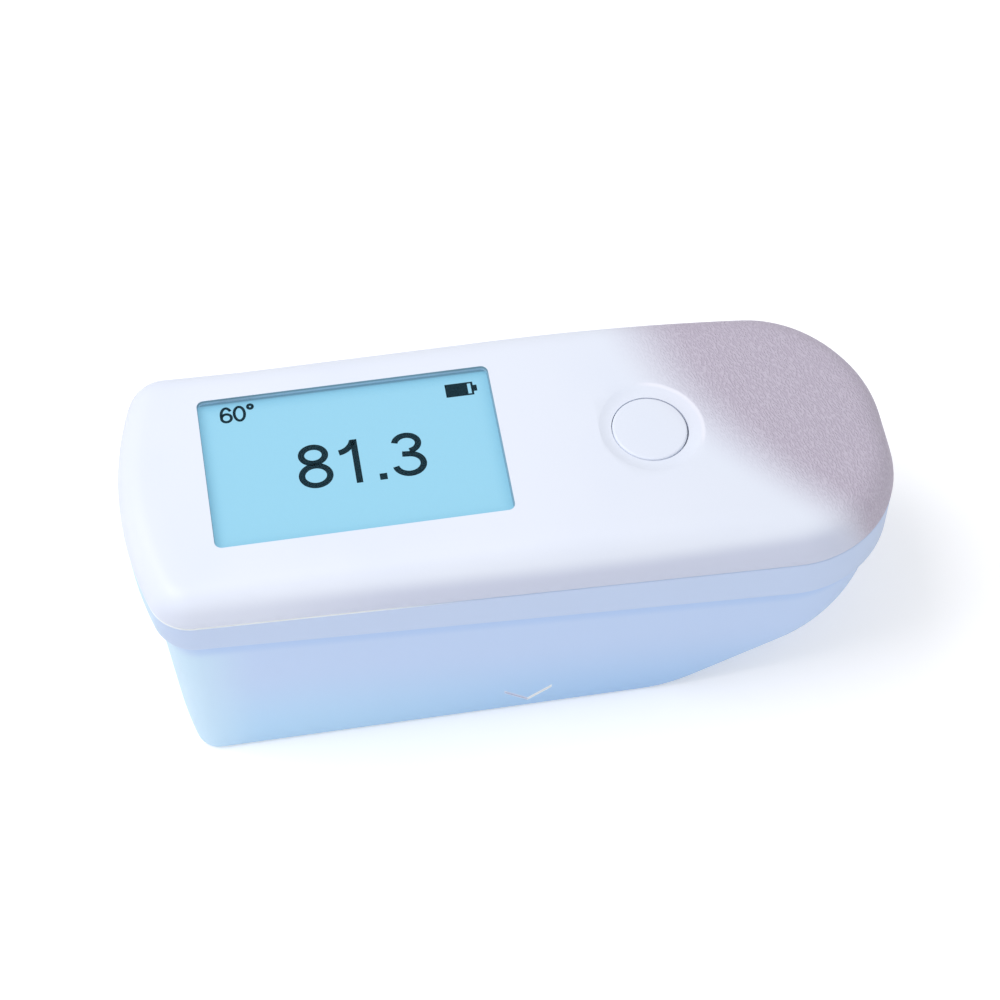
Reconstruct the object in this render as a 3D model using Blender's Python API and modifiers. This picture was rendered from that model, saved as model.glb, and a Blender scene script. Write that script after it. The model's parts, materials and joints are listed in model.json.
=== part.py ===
"""Hand-held 60 degree gloss meter, in metres, +Z up.

The origin is the middle of the underside. X runs along the body, with the display at -X
and the palm end at +X. The measuring aperture is in the underside at the origin.
"""

import math

import bmesh
import bpy
from mathutils import Vector

# Housing
LENGTH = 0.150
WIDTH = 0.056
HEIGHT = 0.058
FRONT_CORNER = 0.008
PALM_FLAT = 0.004
PALM_CORNER = WIDTH / 2 - PALM_FLAT
FRONT_TURN = math.radians(72)
FRONT_RAKE = 0.0028
RAKE_REACH = 0.035
TOP_EDGE = 0.0065
PALM_EDGE = 0.008
PALM_REACH = 0.045
PALM_START = LENGTH / 2 - PALM_REACH
PALM_DROP = 0.005
PARTING_DROP = 0.0102
PARTING_HEIGHT = HEIGHT - PARTING_DROP
PARTING_FALL = 0.0575
RIM_DROP = 0.0199
RIM_HEIGHT = HEIGHT - RIM_DROP
RIM_FALL = 0.080
RIM_ROUND = 0.0006
RIM_STEP = 0.0022
BASE_INSET = 0.0030
BASE_EDGE = 0.0015
TAIL_LENGTH = 0.051
TAIL_START = LENGTH / 2 - TAIL_LENGTH
TAIL_BEND = 0.010
TAIL_CLEAR = 0.0050
TAIL_SLOPE = (RIM_HEIGHT - RIM_FALL * LENGTH / 2 - TAIL_CLEAR) / (TAIL_LENGTH - TAIL_BEND / 2)
UPPER_WALL = 0.0020
LOWER_WALL = 0.0019
FLOOR = 0.0025
LIP_HEIGHT = 0.0012
CORNER_FILL = 0.0010
LIP_WALL = 0.0010
GAP = 0.0003

# Display window and button
WINDOW_Y = 0.0017
WINDOW_SHARE = 0.37533
WINDOW_START = 0.01695
WINDOW_LENGTH = LENGTH * WINDOW_SHARE
WINDOW_X = WINDOW_START + (WINDOW_LENGTH - LENGTH) / 2
WINDOW_FRAME = 0.0223
WINDOW_WIDTH = WIDTH - WINDOW_FRAME
WINDOW_CORNER = 0.0020
LENS_MARGIN = 0.0012
LENS_THICKNESS = 0.0012
LENS_WALL = 0.0010
GASKET = 0.0008
PANEL_THICKNESS = 0.0018
BACKLIGHT_THICKNESS = 0.0027
CARRIER_WALL = 0.0010
CARRIER_DEPTH = 0.0040
BUTTON_SETBACK = 0.04795
BUTTON_X = LENGTH / 2 - BUTTON_SETBACK
BUTTON_RADIUS = 0.0073
DISH_RADIUS = 0.0102
DISH_DEPTH = 0.0007
DISH_RIM = 0.0001
DISH_SLOPE = 0.0012
BUTTON_FLANGE = 0.0012
BUTTON_FLANGE_DEPTH = 0.0010
CAP_BEVEL = 0.0005
BUTTON_STEM = 0.0020
BUTTON_TRAVEL = 0.0005
SWITCH_SIDE = 0.0062
SWITCH_HEIGHT = 0.0035
PLUNGER_RADIUS = 0.00175
PLUNGER_RISE = 0.0010

BOARD_DROP = 0.0032

# Main board
BOARD_THICKNESS = 0.0016
BOARD_SETBACK = 0.015
BOARD_FRONT = LENGTH / 2 - BOARD_SETBACK
BOARD_ROOM = 0.006
BOARD_WIDTH = WIDTH - 2 * BOARD_ROOM
TONGUE_WIDTH = 0.025
TONGUE_FRONT = 0.0062
BOSS_RADIUS = 0.0022
FRONT_SCREW_X = 0.0120
WINDOW_TO_SCREW = 0.00775
BOARD_END = 0.004
TONGUE_END = 0.01095
BOARD_SCREW_X = (FRONT_SCREW_X - LENGTH / 2, WINDOW_X + WINDOW_LENGTH / 2 + WINDOW_TO_SCREW)
BOARD_BACK = BOARD_SCREW_X[1] + BOARD_END
TONGUE_BACK = BUTTON_X + TONGUE_END - BOARD_BACK
FRONT_SCREW_Y = 0.0090
SCREW_ROOM = 0.0095
BOARD_SCREW_Y = (FRONT_SCREW_Y, WIDTH / 2 - SCREW_ROOM)
CHIP_SIDE = 0.010
PROCESSOR_X = WINDOW_X
MEMORY_SIDE = 0.006
MEMORY_SETBACK = 0.020
MEMORY_X = BOARD_BACK - MEMORY_SETBACK
CHIP_HEIGHT = 0.0012

# Measuring head
BEAM_ANGLE = math.radians(60)
ARM_START = 0.0205
ARM_LENGTH = 0.042
ARM_HALF = 0.0065
BORE_RADIUS = 0.0053
BORE_OVERRUN = 0.01
BEAM_RADIUS = 0.0040
LENS_SEAT = 0.022
LENS_HALF_THICKNESS = 0.0013
RING_THICKNESS = 0.0018
STOP_PLACE = 0.036
STOP_THICKNESS = 0.0006
STOP_HOLE = 0.0008
LAMP_RADIUS = 0.0025
DETECTOR_RADIUS = 0.0041
SMALL_BOARD = 0.0120
BLOCK_LENGTH = 0.032
BLOCK_WIDTH = 0.020
BLOCK_HEIGHT = 0.013
PLATE_LENGTH = 0.030
PLATE_WIDTH = 0.022
PLATE_CORNER = 0.0018
FLANGE_LENGTH = 0.040
FLANGE_WIDTH = 0.032
FLANGE_THICKNESS = 0.0012
SLOT_LENGTH = 0.026
SLOT_WIDTH = 0.009
DUST_GLASS = 0.0010
PLATE_SCREW_X = 0.0176
PLATE_SCREW_Y = 0.0137
BLOCK_SCREW_Y = 0.0077
BLOCK_HEAD = 0.0018
BLOCK_HEAD_HEIGHT = 0.0012
BLOCK_SCREW = 0.0095

# Battery bay
CELL_RADIUS = 0.00525
CELL_ROOM = 0.006
CELL_LENGTH = WIDTH - 2 * CELL_ROOM
CELL_PITCH = 0.0112
CELL_SETBACK = 0.0231
CELL_X = CELL_SETBACK - LENGTH / 2
BAY_WALL = 0.0012
DOOR_THICKNESS = 0.0020
DOOR_INSET = 0.0002
DOOR_OVERLAP = 0.0001
DOOR_WIDTH = CELL_LENGTH + 2 * DOOR_OVERLAP
DOOR_CORNER = 0.0015
BAY_CORNER = 0.0040
WELL_REACH = 0.0008
PIVOT_ROOM = 0.0002
PIVOT_RADIUS = 0.0007
PIVOT_LENGTH = 0.0007
CONTACT_THICKNESS = 0.0003

GROOVES = 3
GROOVE_START = 0.0030
GROOVE_PITCH = 0.0012
GROOVE_WIDTH = 0.0005
GROOVE_LENGTH = 0.0120
GROOVE_DEPTH = 0.0004

# V mark
MARK_WIDTH = 0.0005
MARK_DEPTH = 0.0008
MARK_ARM = 0.0058
MARK_HEIGHT = 0.0034
MARK_TURN = math.radians(50)

# Front hook
HOOK_SETBACK = 0.0047
HOOK_DROP = 0.0055
HOOK_WIDTH = 0.0120
HOOK_THICKNESS = 0.0012
HOOK_REACH = 0.0014
HOOK_HEIGHT = 0.0015

# Case screws
PILLAR_SETBACK = 0.0515
PILLAR_X = LENGTH / 2 - PILLAR_SETBACK
PILLAR_Y = WIDTH / 2 - SCREW_ROOM
PILLAR_RADIUS = 0.0029
PILLAR_DROP = 0.022
PILLAR_TOP = HEIGHT - PILLAR_DROP
PILLAR_HEAD = 0.005
SCREW_SEAT = PILLAR_TOP - PILLAR_HEAD
SHANK_RADIUS = 0.00115
HEAD_RADIUS = 0.0020
HEAD_HEIGHT = 0.0014
CASE_SCREW_LENGTH = 0.012
SMALL_SHANK = 0.0008
SMALL_SCREW = 0.0062
BOARD_SCREW = 0.0070
SMALL_HEAD = 0.0015
SMALL_HEAD_HEIGHT = 0.0009

# Facets
ARC_STEPS = 7
SIDE_STEPS = 16
END_STEPS = 4
EDGE_STEPS = 5
ROUND_SIDES = 28
SCREW_SIDES = 14
THROUGH = 0.001

LENS_TOP = HEIGHT - LENS_WALL - GAP
PANEL_TOP = LENS_TOP - LENS_THICKNESS - GAP - GASKET - GAP
GUIDE_LOW = PANEL_TOP - PANEL_THICKNESS - GAP - BACKLIGHT_THICKNESS
BOARD_TOP = GUIDE_LOW - BOARD_DROP
ROOF_HEIGHT = DOOR_INSET + DOOR_THICKNESS + GAP + 2 * CELL_RADIUS + GAP
BAY_HALF = CELL_PITCH / 2 + CELL_RADIUS + GAP
HINGE_X = CELL_X + BAY_HALF - DOOR_INSET
HINGE_Z = DOOR_INSET + DOOR_THICKNESS / 2
HOOK_X = HOOK_SETBACK - LENGTH / 2
HOOK_Z = PARTING_HEIGHT + PARTING_FALL * LENGTH / 2 - HOOK_DROP
FLANGE_TOP = FLOOR + GAP + FLANGE_THICKNESS
BLOCK_BOTTOM = FLANGE_TOP + GAP


def clear_scene():
    for obj in list(bpy.data.objects):
        bpy.data.objects.remove(obj)


def collection(name):
    made = bpy.data.collections.new(name)
    bpy.context.scene.collection.children.link(made)
    return made


clear_scene()
PARTS = collection("gloss_meter")
CUTTERS = collection("cutters")


def material(name, color, roughness, metallic=0.0):
    made = bpy.data.materials.new(name)
    made.use_nodes = True
    shader = made.node_tree.nodes["Principled BSDF"]
    shader.inputs["Base Color"].default_value = (*color, 1.0)
    shader.inputs["Roughness"].default_value = roughness
    shader.inputs["Metallic"].default_value = metallic
    return made


WHITE = material("white_shell", (0.86, 0.88, 0.95), 0.45)
PALE_BLUE = material("pale_blue_shell", (0.52, 0.64, 0.88), 0.40)
CLEAR = material("clear_window", (0.80, 0.90, 0.95), 0.05)
PANEL = material("lit_panel", (0.36, 0.71, 0.91), 0.15)
FOAM = material("black_foam", (0.02, 0.02, 0.02), 0.9)
DIFFUSER = material("white_diffuser", (0.9, 0.9, 0.9), 0.5)
BOARD = material("green_board", (0.02, 0.18, 0.08), 0.5)
BLACK = material("black_block", (0.015, 0.015, 0.017), 0.6)
CHIP = material("chip_case", (0.03, 0.03, 0.03), 0.5)
GLASS = material("optical_glass", (0.85, 0.92, 0.92), 0.03)
PLATE = material("plate_metal", (0.60, 0.61, 0.63), 0.35, 1.0)
STEEL = material("screw_steel", (0.45, 0.45, 0.46), 0.3, 1.0)
CELL = material("cell_can", (0.32, 0.34, 0.36), 0.35, 0.8)
NICKEL = material("contact_nickel", (0.62, 0.60, 0.55), 0.3, 1.0)


def finish(name, mesh_builder, paint, group=PARTS):
    """An object of this mesh, smooth on its round faces."""
    mesh = bpy.data.meshes.new(name)
    mesh_builder.to_mesh(mesh)
    mesh_builder.free()
    obj = bpy.data.objects.new(name, mesh)
    group.objects.link(obj)
    if paint:
        mesh.materials.append(paint)
    mesh.shade_smooth()
    mesh.set_sharp_from_angle(angle=math.radians(35))
    if group is CUTTERS:
        obj.hide_render = True
        obj.display_type = "WIRE"
    return obj


def box(name, low, high, paint=None, group=PARTS, round_edges=0.0):
    """A box between two corners, its upright edges rounded if asked."""
    low, high = Vector(low), Vector(high)
    bm = bmesh.new()
    bmesh.ops.create_cube(bm, size=1.0)
    bmesh.ops.scale(bm, vec=high - low, verts=bm.verts)
    if round_edges:
        upright = [e for e in bm.edges if abs(e.verts[0].co.z - e.verts[1].co.z) > 1e-6]
        bmesh.ops.bevel(
            bm, geom=upright, offset=round_edges, segments=4, profile=0.5, affect="EDGES"
        )
    bmesh.ops.translate(bm, vec=(low + high) / 2, verts=bm.verts)
    return finish(name, bm, paint, group)


def rod(name, start, end, radius, paint=None, group=PARTS, sides=ROUND_SIDES):
    """A cylinder from one point to another."""
    start, end = Vector(start), Vector(end)
    bm = bmesh.new()
    bmesh.ops.create_cone(
        bm,
        cap_ends=True,
        segments=sides,
        radius1=radius,
        radius2=radius,
        depth=(end - start).length,
    )
    obj = finish(name, bm, paint, group)
    obj.rotation_mode = "QUATERNION"
    obj.rotation_quaternion = (end - start).to_track_quat("Z", "Y")
    obj.location = (start + end) / 2
    return obj


def turned(name, profile, place, direction, paint, group=PARTS, sides=ROUND_SIDES):
    """A profile of (radius, height) points, outer side from the top down, turned about its axis."""
    mesh = bpy.data.meshes.new(name)
    points = [(radius, 0.0, height) for radius, height in profile]
    mesh.from_pydata(points, [(i, i + 1) for i in range(len(points) - 1)], [])
    obj = bpy.data.objects.new(name, mesh)
    group.objects.link(obj)
    if paint:
        mesh.materials.append(paint)
    screw = obj.modifiers.new("turn", "SCREW")
    screw.steps = screw.render_steps = sides
    screw.use_merge_vertices = True
    screw.merge_threshold = 0.00001
    screw.use_smooth_shade = True
    obj.rotation_mode = "QUATERNION"
    obj.rotation_quaternion = Vector(direction).to_track_quat("Z", "Y")
    obj.location = place
    if group is CUTTERS:
        obj.hide_render = True
        obj.display_type = "WIRE"
    return obj


def boolean(target, other, operation):
    """One Boolean step of target with other."""
    step = target.modifiers.new(other.name, "BOOLEAN")
    step.operation = operation
    step.object = other
    step.solver = "EXACT"


def cut(target, *cutters):
    for cutter in cutters:
        boolean(target, cutter, "DIFFERENCE")


def join(target, *others):
    for other in others:
        boolean(target, other, "UNION")


def helper_box(name, low, high, round_edges=0.0):
    return box(name, low, high, None, CUTTERS, round_edges)


def helper_rod(name, start, end, radius, sides=ROUND_SIDES):
    return rod(name, start, end, radius, None, CUTTERS, sides)


def centred(x, y, length, width, low, high):
    """The two corners of a box centred on a point in plan."""
    return (x - length / 2, y - width / 2, low), (x + length / 2, y + width / 2, high)


def arc_points(centre, radius, start, end, steps):
    """(point, outward normal) along an arc of the plan outline."""
    found = []
    for i in range(steps + 1):
        turn = start + (end - start) * i / steps
        nx, ny = math.cos(turn), math.sin(turn)
        found.append(((centre[0] + radius * nx, centre[1] + radius * ny), (nx, ny)))
    return found


def plan_stations():
    """(point, outward normal) round the plan outline, counter-clockwise from the palm end."""
    half = WIDTH / 2
    palm = LENGTH / 2 - PALM_CORNER
    bow_radius = (half - FRONT_CORNER * (1 - math.cos(FRONT_TURN))) / math.cos(FRONT_TURN)
    bow_centre = bow_radius - LENGTH / 2
    front = bow_centre - (bow_radius - FRONT_CORNER) * math.sin(FRONT_TURN)
    found = [((LENGTH / 2, 0.0), (1.0, 0.0))]
    quarter = math.pi / 2
    found += arc_points((palm, half - PALM_CORNER), PALM_CORNER, 0.0, quarter, ARC_STEPS)
    for i in range(1, SIDE_STEPS):
        found.append(((palm + (front - palm) * i / SIDE_STEPS, half), (0.0, 1.0)))
    corner_end = quarter + FRONT_TURN
    found += arc_points(
        (front, half - FRONT_CORNER), FRONT_CORNER, quarter, corner_end, ARC_STEPS
    )
    found += arc_points((bow_centre, 0.0), bow_radius, corner_end, math.pi, END_STEPS)[1:]
    mirrored = [((x, -y), (nx, -ny)) for (x, y), (nx, ny) in found[1:-1]]
    return found + mirrored[::-1]


STATIONS = plan_stations()


def top_height(x):
    share = max(0.0, (x - PALM_START) / (LENGTH / 2 - PALM_START))
    return HEIGHT - PALM_DROP * share**2


def top_edge(x):
    share = min(1.0, max(0.0, x / (LENGTH / 2)))
    return TOP_EDGE + (PALM_EDGE - TOP_EDGE) * share**2 * (3 - 2 * share)


def parting_height(x):
    return PARTING_HEIGHT - PARTING_FALL * x


def rim_height(x):
    return RIM_HEIGHT - RIM_FALL * x


def bottom_height(x):
    run = x - TAIL_START
    if run <= 0:
        return 0.0
    if run < TAIL_BEND:
        return TAIL_SLOPE * run**2 / (2 * TAIL_BEND)
    return TAIL_SLOPE * (run - TAIL_BEND / 2)


def raked(x, y, z):
    """The point, moved back at the front end, whose wall leans in towards the base."""
    reach = max(0.0, -x - (LENGTH / 2 - RAKE_REACH)) / RAKE_REACH
    lean = max(0.0, 1 - z / (HEIGHT - TOP_EDGE))
    return Vector((x + FRONT_RAKE * reach * lean, y, z))


def ring(inset_of, height_of):
    """One ring of points, with its inset and height worked out at each station."""
    points = []
    for (x, y), (nx, ny) in STATIONS:
        inset = inset_of(x)
        px, py = x - nx * inset, y - ny * inset
        points.append(raked(px, py, height_of(px, x)))
    return points


def closing_rings(inset_of, height_of):
    """Rings that close a surface from a ring's inset in to the spine."""
    rings = []
    for share in (0.4, 0.75, 1.0):
        points = []
        for (x, y), (nx, ny) in STATIONS:
            inset = inset_of(x)
            px, py = x - nx * inset, y - ny * inset
            limit = LENGTH / 2 - WIDTH / 2
            sx = max(-limit, min(limit, px))
            qx, qy = px + (sx - px) * share, py * (1 - share)
            points.append(raked(qx, qy, height_of(qx)))
        rings.append(points)
    return rings


def loft(name, rings, paint=None, group=PARTS):
    """A closed surface through rings whose first and last lie on the spine."""
    bm = bmesh.new()
    rows = [[bm.verts.new(point) for point in points] for points in rings]
    count = len(STATIONS)
    for lower, upper in zip(rows, rows[1:]):
        for i in range(count):
            j = (i + 1) % count
            bm.faces.new((lower[i], lower[j], upper[j], upper[i]))
    bmesh.ops.remove_doubles(bm, verts=bm.verts, dist=1e-6)
    bmesh.ops.dissolve_degenerate(bm, edges=bm.edges, dist=1e-6)
    bmesh.ops.recalc_face_normals(bm, faces=bm.faces)
    return finish(name, bm, paint, group)


def roof_rings(inset, edge_of, height_of):
    """Rings of a roof with rounded edges, from its spine out and down to the wall."""
    rings = closing_rings(lambda x: inset + edge_of(x), height_of)[::-1]
    for i in range(EDGE_STEPS, -1, -1):
        turn = math.pi / 2 * i / EDGE_STEPS
        rings.append(
            ring(
                lambda x, t=turn: inset + edge_of(x) * (1 - math.cos(t)),
                lambda px, x, t=turn: height_of(px) - edge_of(x) * (1 - math.sin(t)),
            )
        )
    return rings


def upper_shell():
    seam = GAP / 2
    outside = roof_rings(0.0, top_edge, top_height)
    inside = roof_rings(
        UPPER_WALL,
        lambda x: top_edge(x) - UPPER_WALL - CORNER_FILL,
        lambda x: top_height(x) - UPPER_WALL,
    )
    rim = [
        ring(lambda x: 0.0, lambda px, x: parting_height(x) + seam),
        ring(lambda x: UPPER_WALL, lambda px, x: parting_height(x) + seam),
    ]
    shell = loft("upper_shell", outside + rim + inside[::-1], WHITE)
    roof = HEIGHT - UPPER_WALL
    for x, y in zip(BOARD_SCREW_X, BOARD_SCREW_Y):
        for side in (-1, 1):
            boss = helper_rod(
                f"board_boss_{x:.3f}_{side}",
                (x, side * y, BOARD_TOP + GAP),
                (x, side * y, roof + UPPER_WALL / 2),
                BOSS_RADIUS,
            )
            join(shell, boss)
    for side in (-1, 1):
        boss = helper_rod(
            f"case_boss_{side}",
            (PILLAR_X, side * PILLAR_Y, PILLAR_TOP + GAP),
            (PILLAR_X, side * PILLAR_Y, roof + UPPER_WALL / 2),
            PILLAR_RADIUS,
        )
        pilot = helper_rod(
            f"case_pilot_{side}",
            (PILLAR_X, side * PILLAR_Y, 0.0),
            (PILLAR_X, side * PILLAR_Y, SCREW_SEAT + CASE_SCREW_LENGTH + GAP),
            SHANK_RADIUS + GAP,
            16,
        )
        join(shell, boss)
        cut(shell, pilot)
    for x, y in zip(BOARD_SCREW_X, BOARD_SCREW_Y):
        for side in (-1, 1):
            pilot = helper_rod(
                f"board_pilot_{x:.3f}_{side}",
                (x, side * y, BOARD_TOP - BOARD_THICKNESS - SMALL_SCREW),
                (x, side * y, BOARD_TOP + SMALL_SCREW),
                SMALL_SHANK + GAP,
                12,
            )
            cut(shell, pilot)
    tongue = helper_box(
        "hook_tongue",
        (HOOK_X, -HOOK_WIDTH / 2, HOOK_Z),
        (HOOK_X + HOOK_THICKNESS, HOOK_WIDTH / 2, roof + UPPER_WALL / 4),
    )
    barb = helper_box(
        "hook_barb",
        (HOOK_X - HOOK_REACH, -HOOK_WIDTH / 2, HOOK_Z),
        (HOOK_X + HOOK_THICKNESS / 2, HOOK_WIDTH / 2, HOOK_Z + HOOK_HEIGHT),
    )
    join(shell, tongue, barb)
    window = helper_box(
        "window_cut",
        *centred(WINDOW_X, WINDOW_Y, WINDOW_LENGTH, WINDOW_WIDTH, roof - THROUGH, HEIGHT + THROUGH),
        WINDOW_CORNER,
    )
    rebate = helper_box(
        "window_rebate",
        *centred(
            WINDOW_X,
            WINDOW_Y,
            WINDOW_LENGTH + 2 * (LENS_MARGIN + GAP),
            WINDOW_WIDTH + 2 * (LENS_MARGIN + GAP),
            roof - THROUGH,
            HEIGHT - LENS_WALL,
        ),
        WINDOW_CORNER,
    )
    dish = turned(
        "button_dish",
        [
            (0.0, HEIGHT + THROUGH),
            (DISH_RADIUS, HEIGHT + THROUGH),
            (DISH_RADIUS, HEIGHT - DISH_RIM),
            (DISH_RADIUS - DISH_SLOPE, HEIGHT - DISH_DEPTH * 0.8),
            (BUTTON_RADIUS, HEIGHT - DISH_DEPTH),
            (0.0, HEIGHT - DISH_DEPTH),
        ],
        (BUTTON_X, 0.0, 0.0),
        (0, 0, 1),
        None,
        CUTTERS,
    )
    hole = helper_rod(
        "button_hole",
        (BUTTON_X, 0, roof - THROUGH),
        (BUTTON_X, 0, HEIGHT + THROUGH),
        BUTTON_RADIUS + GAP,
        48,
    )
    cut(shell, window, rebate, dish, hole)
    return shell


def body_inset(x, z):
    """How far the lower body's wall stands in from the rim, growing towards the base."""
    rim = rim_height(x)
    return RIM_STEP + (BASE_INSET - RIM_STEP) * (rim - z) / rim


def base_rings(inset_of, height_of, edge):
    """Rings of a base with rounded edges, from the wall down and in to the spine."""
    rings = []
    for i in range(EDGE_STEPS - 1):
        turn = math.pi / 2 * i / (EDGE_STEPS - 2)
        rings.append(
            ring(
                lambda x, t=turn: inset_of(x) + edge * (1 - math.cos(t)),
                lambda px, x, t=turn: height_of(px) + edge * (1 - math.sin(t)),
            )
        )
    return rings + closing_rings(lambda x: inset_of(x) + edge, height_of)


def lower_shell():
    seam = GAP / 2
    lip_inset = UPPER_WALL + GAP
    outside = [
        ring(lambda x: lip_inset, lambda px, x: parting_height(x) - seam),
        ring(lambda x: 0.0, lambda px, x: parting_height(x) - seam),
        ring(lambda x: 0.0, lambda px, x: rim_height(x) + RIM_ROUND),
        ring(lambda x: RIM_ROUND, lambda px, x: rim_height(x)),
        ring(lambda x: RIM_STEP, lambda px, x: rim_height(x)),
        *base_rings(
            lambda x: body_inset(x, bottom_height(x - BASE_INSET)), bottom_height, BASE_EDGE
        ),
    ]
    inner = RIM_STEP + LOWER_WALL
    inside = [
        ring(lambda x: lip_inset, lambda px, x: parting_height(x) + LIP_HEIGHT),
        ring(lambda x: lip_inset + LIP_WALL, lambda px, x: parting_height(x) + LIP_HEIGHT),
        ring(lambda x: lip_inset + LIP_WALL, lambda px, x: parting_height(x)),
        ring(lambda x: inner, lambda px, x: rim_height(x)),
        *base_rings(
            lambda x: body_inset(x, bottom_height(x - BASE_INSET)) + LOWER_WALL,
            lambda x: bottom_height(x) + FLOOR,
            BASE_EDGE,
        ),
    ]
    shell = loft("lower_shell", outside[::-1] + inside, PALE_BLUE)
    bay_low, bay_high = centred(
        CELL_X, 0, 2 * (BAY_HALF + BAY_WALL), WIDTH - 2 * (BASE_INSET + LOWER_WALL / 2), 0, 0
    )
    bay = helper_box(
        "bay_walls",
        (bay_low[0], bay_low[1], FLOOR / 2),
        (bay_high[0], bay_high[1], ROOF_HEIGHT + BAY_WALL),
        BAY_CORNER,
    )
    join(shell, bay)
    for side in (-1, 1):
        foot = (PILLAR_X, side * PILLAR_Y)
        pillar = helper_rod(
            f"pillar_{side}", (*foot, FLOOR / 2), (*foot, PILLAR_TOP), PILLAR_RADIUS
        )
        join(shell, pillar)
    cavity = helper_box(
        "bay_cavity",
        *centred(CELL_X, 0, 2 * BAY_HALF, DOOR_WIDTH + 2 * GAP, -THROUGH, ROOF_HEIGHT),
        DOOR_CORNER,
    )
    wells = helper_box(
        "contact_wells",
        *centred(CELL_X, 0, 2 * BAY_HALF, CELL_LENGTH + 2 * WELL_REACH, FLOOR + THROUGH, ROOF_HEIGHT),
    )
    hinge_room = helper_rod(
        "hinge_room",
        (HINGE_X, -DOOR_WIDTH / 2 - GAP, HINGE_Z),
        (HINGE_X, DOOR_WIDTH / 2 + GAP, HINGE_Z),
        DOOR_THICKNESS / 2 + GAP,
    )
    swing_room = helper_box(
        "swing_room",
        (HINGE_X - DOOR_THICKNESS / 2, -DOOR_WIDTH / 2 - GAP, -THROUGH),
        (HINGE_X + DOOR_THICKNESS / 2 + GAP, DOOR_WIDTH / 2 + GAP, HINGE_Z),
    )
    pivot_reach = DOOR_WIDTH / 2 + PIVOT_LENGTH + GAP
    pivots = helper_rod(
        "pivot_holes",
        (HINGE_X, -pivot_reach, HINGE_Z),
        (HINGE_X, pivot_reach, HINGE_Z),
        PIVOT_RADIUS + PIVOT_ROOM,
        16,
    )
    plate_room = helper_box(
        "plate_room",
        *centred(0, 0, PLATE_LENGTH + 2 * GAP, PLATE_WIDTH + 2 * GAP, -THROUGH, FLOOR + THROUGH),
        PLATE_CORNER + GAP / 2,
    )
    hook_room = helper_box(
        "hook_room",
        (HOOK_X - HOOK_REACH - GAP, -HOOK_WIDTH / 2 - GAP, HOOK_Z - GAP),
        (HOOK_X + GAP, HOOK_WIDTH / 2 + GAP, HOOK_Z + HOOK_HEIGHT + GAP),
    )
    cut(shell, cavity, wells, hinge_room, swing_room, pivots, plate_room, hook_room)
    for side in (-1, 1):
        foot = (PILLAR_X, side * PILLAR_Y)
        deep = helper_rod(
            f"head_well_{side}", (*foot, -THROUGH), (*foot, SCREW_SEAT), HEAD_RADIUS + GAP, 24
        )
        through = helper_rod(
            f"screw_hole_{side}",
            (*foot, SCREW_SEAT - THROUGH),
            (*foot, PILLAR_TOP + THROUGH),
            SHANK_RADIUS + GAP,
            16,
        )
        cut(shell, deep, through)
        for end in (-1, 1):
            pilot = helper_rod(
                f"plate_pilot_{side}_{end}",
                (end * PLATE_SCREW_X, side * PLATE_SCREW_Y, FLOOR * 0.28),
                (end * PLATE_SCREW_X, side * PLATE_SCREW_Y, FLOOR + THROUGH),
                SMALL_SHANK + GAP,
                12,
            )
            cut(shell, pilot)
    return shell


def display_stack():
    """Window, gasket, panel, light guide and carrier, from the top down."""
    length, width = WINDOW_LENGTH + 2 * LENS_MARGIN, WINDOW_WIDTH + 2 * LENS_MARGIN
    lens_low = LENS_TOP - LENS_THICKNESS
    box(
        "window_lens",
        *centred(WINDOW_X, WINDOW_Y, length, width, lens_low, LENS_TOP),
        CLEAR,
        round_edges=WINDOW_CORNER - GAP,
    )
    gasket_top = lens_low - GAP
    gasket = box(
        "window_gasket",
        *centred(WINDOW_X, WINDOW_Y, length, width, gasket_top - GASKET, gasket_top),
        FOAM,
    )
    opening = helper_box(
        "gasket_opening",
        *centred(
            WINDOW_X, WINDOW_Y, WINDOW_LENGTH, WINDOW_WIDTH, gasket_top - 0.003, gasket_top + THROUGH
        ),
    )
    cut(gasket, opening)
    panel_top = gasket_top - GASKET - GAP
    panel_low = panel_top - PANEL_THICKNESS
    box(
        "display_glass",
        *centred(WINDOW_X, WINDOW_Y, length - 2 * GAP, width - 2 * GAP, panel_low, panel_top),
        PANEL,
    )
    guide_top = panel_low - GAP
    guide_low = guide_top - BACKLIGHT_THICKNESS
    box(
        "display_backlight",
        *centred(WINDOW_X, WINDOW_Y, length - 2 * GAP, width - 2 * GAP, guide_low, guide_top),
        DIFFUSER,
    )
    outer = CARRIER_WALL + GAP
    carrier = box(
        "display_carrier",
        *centred(
            WINDOW_X,
            WINDOW_Y,
            length + 2 * outer - 2 * GAP,
            width + 2 * outer - 2 * GAP,
            BOARD_TOP + GAP,
            guide_low - GAP + CARRIER_DEPTH,
        ),
        BLACK,
    )
    pocket = helper_box(
        "carrier_pocket",
        *centred(WINDOW_X, WINDOW_Y, length, width, guide_low - GAP, HEIGHT),
    )
    cut(carrier, pocket)


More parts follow.
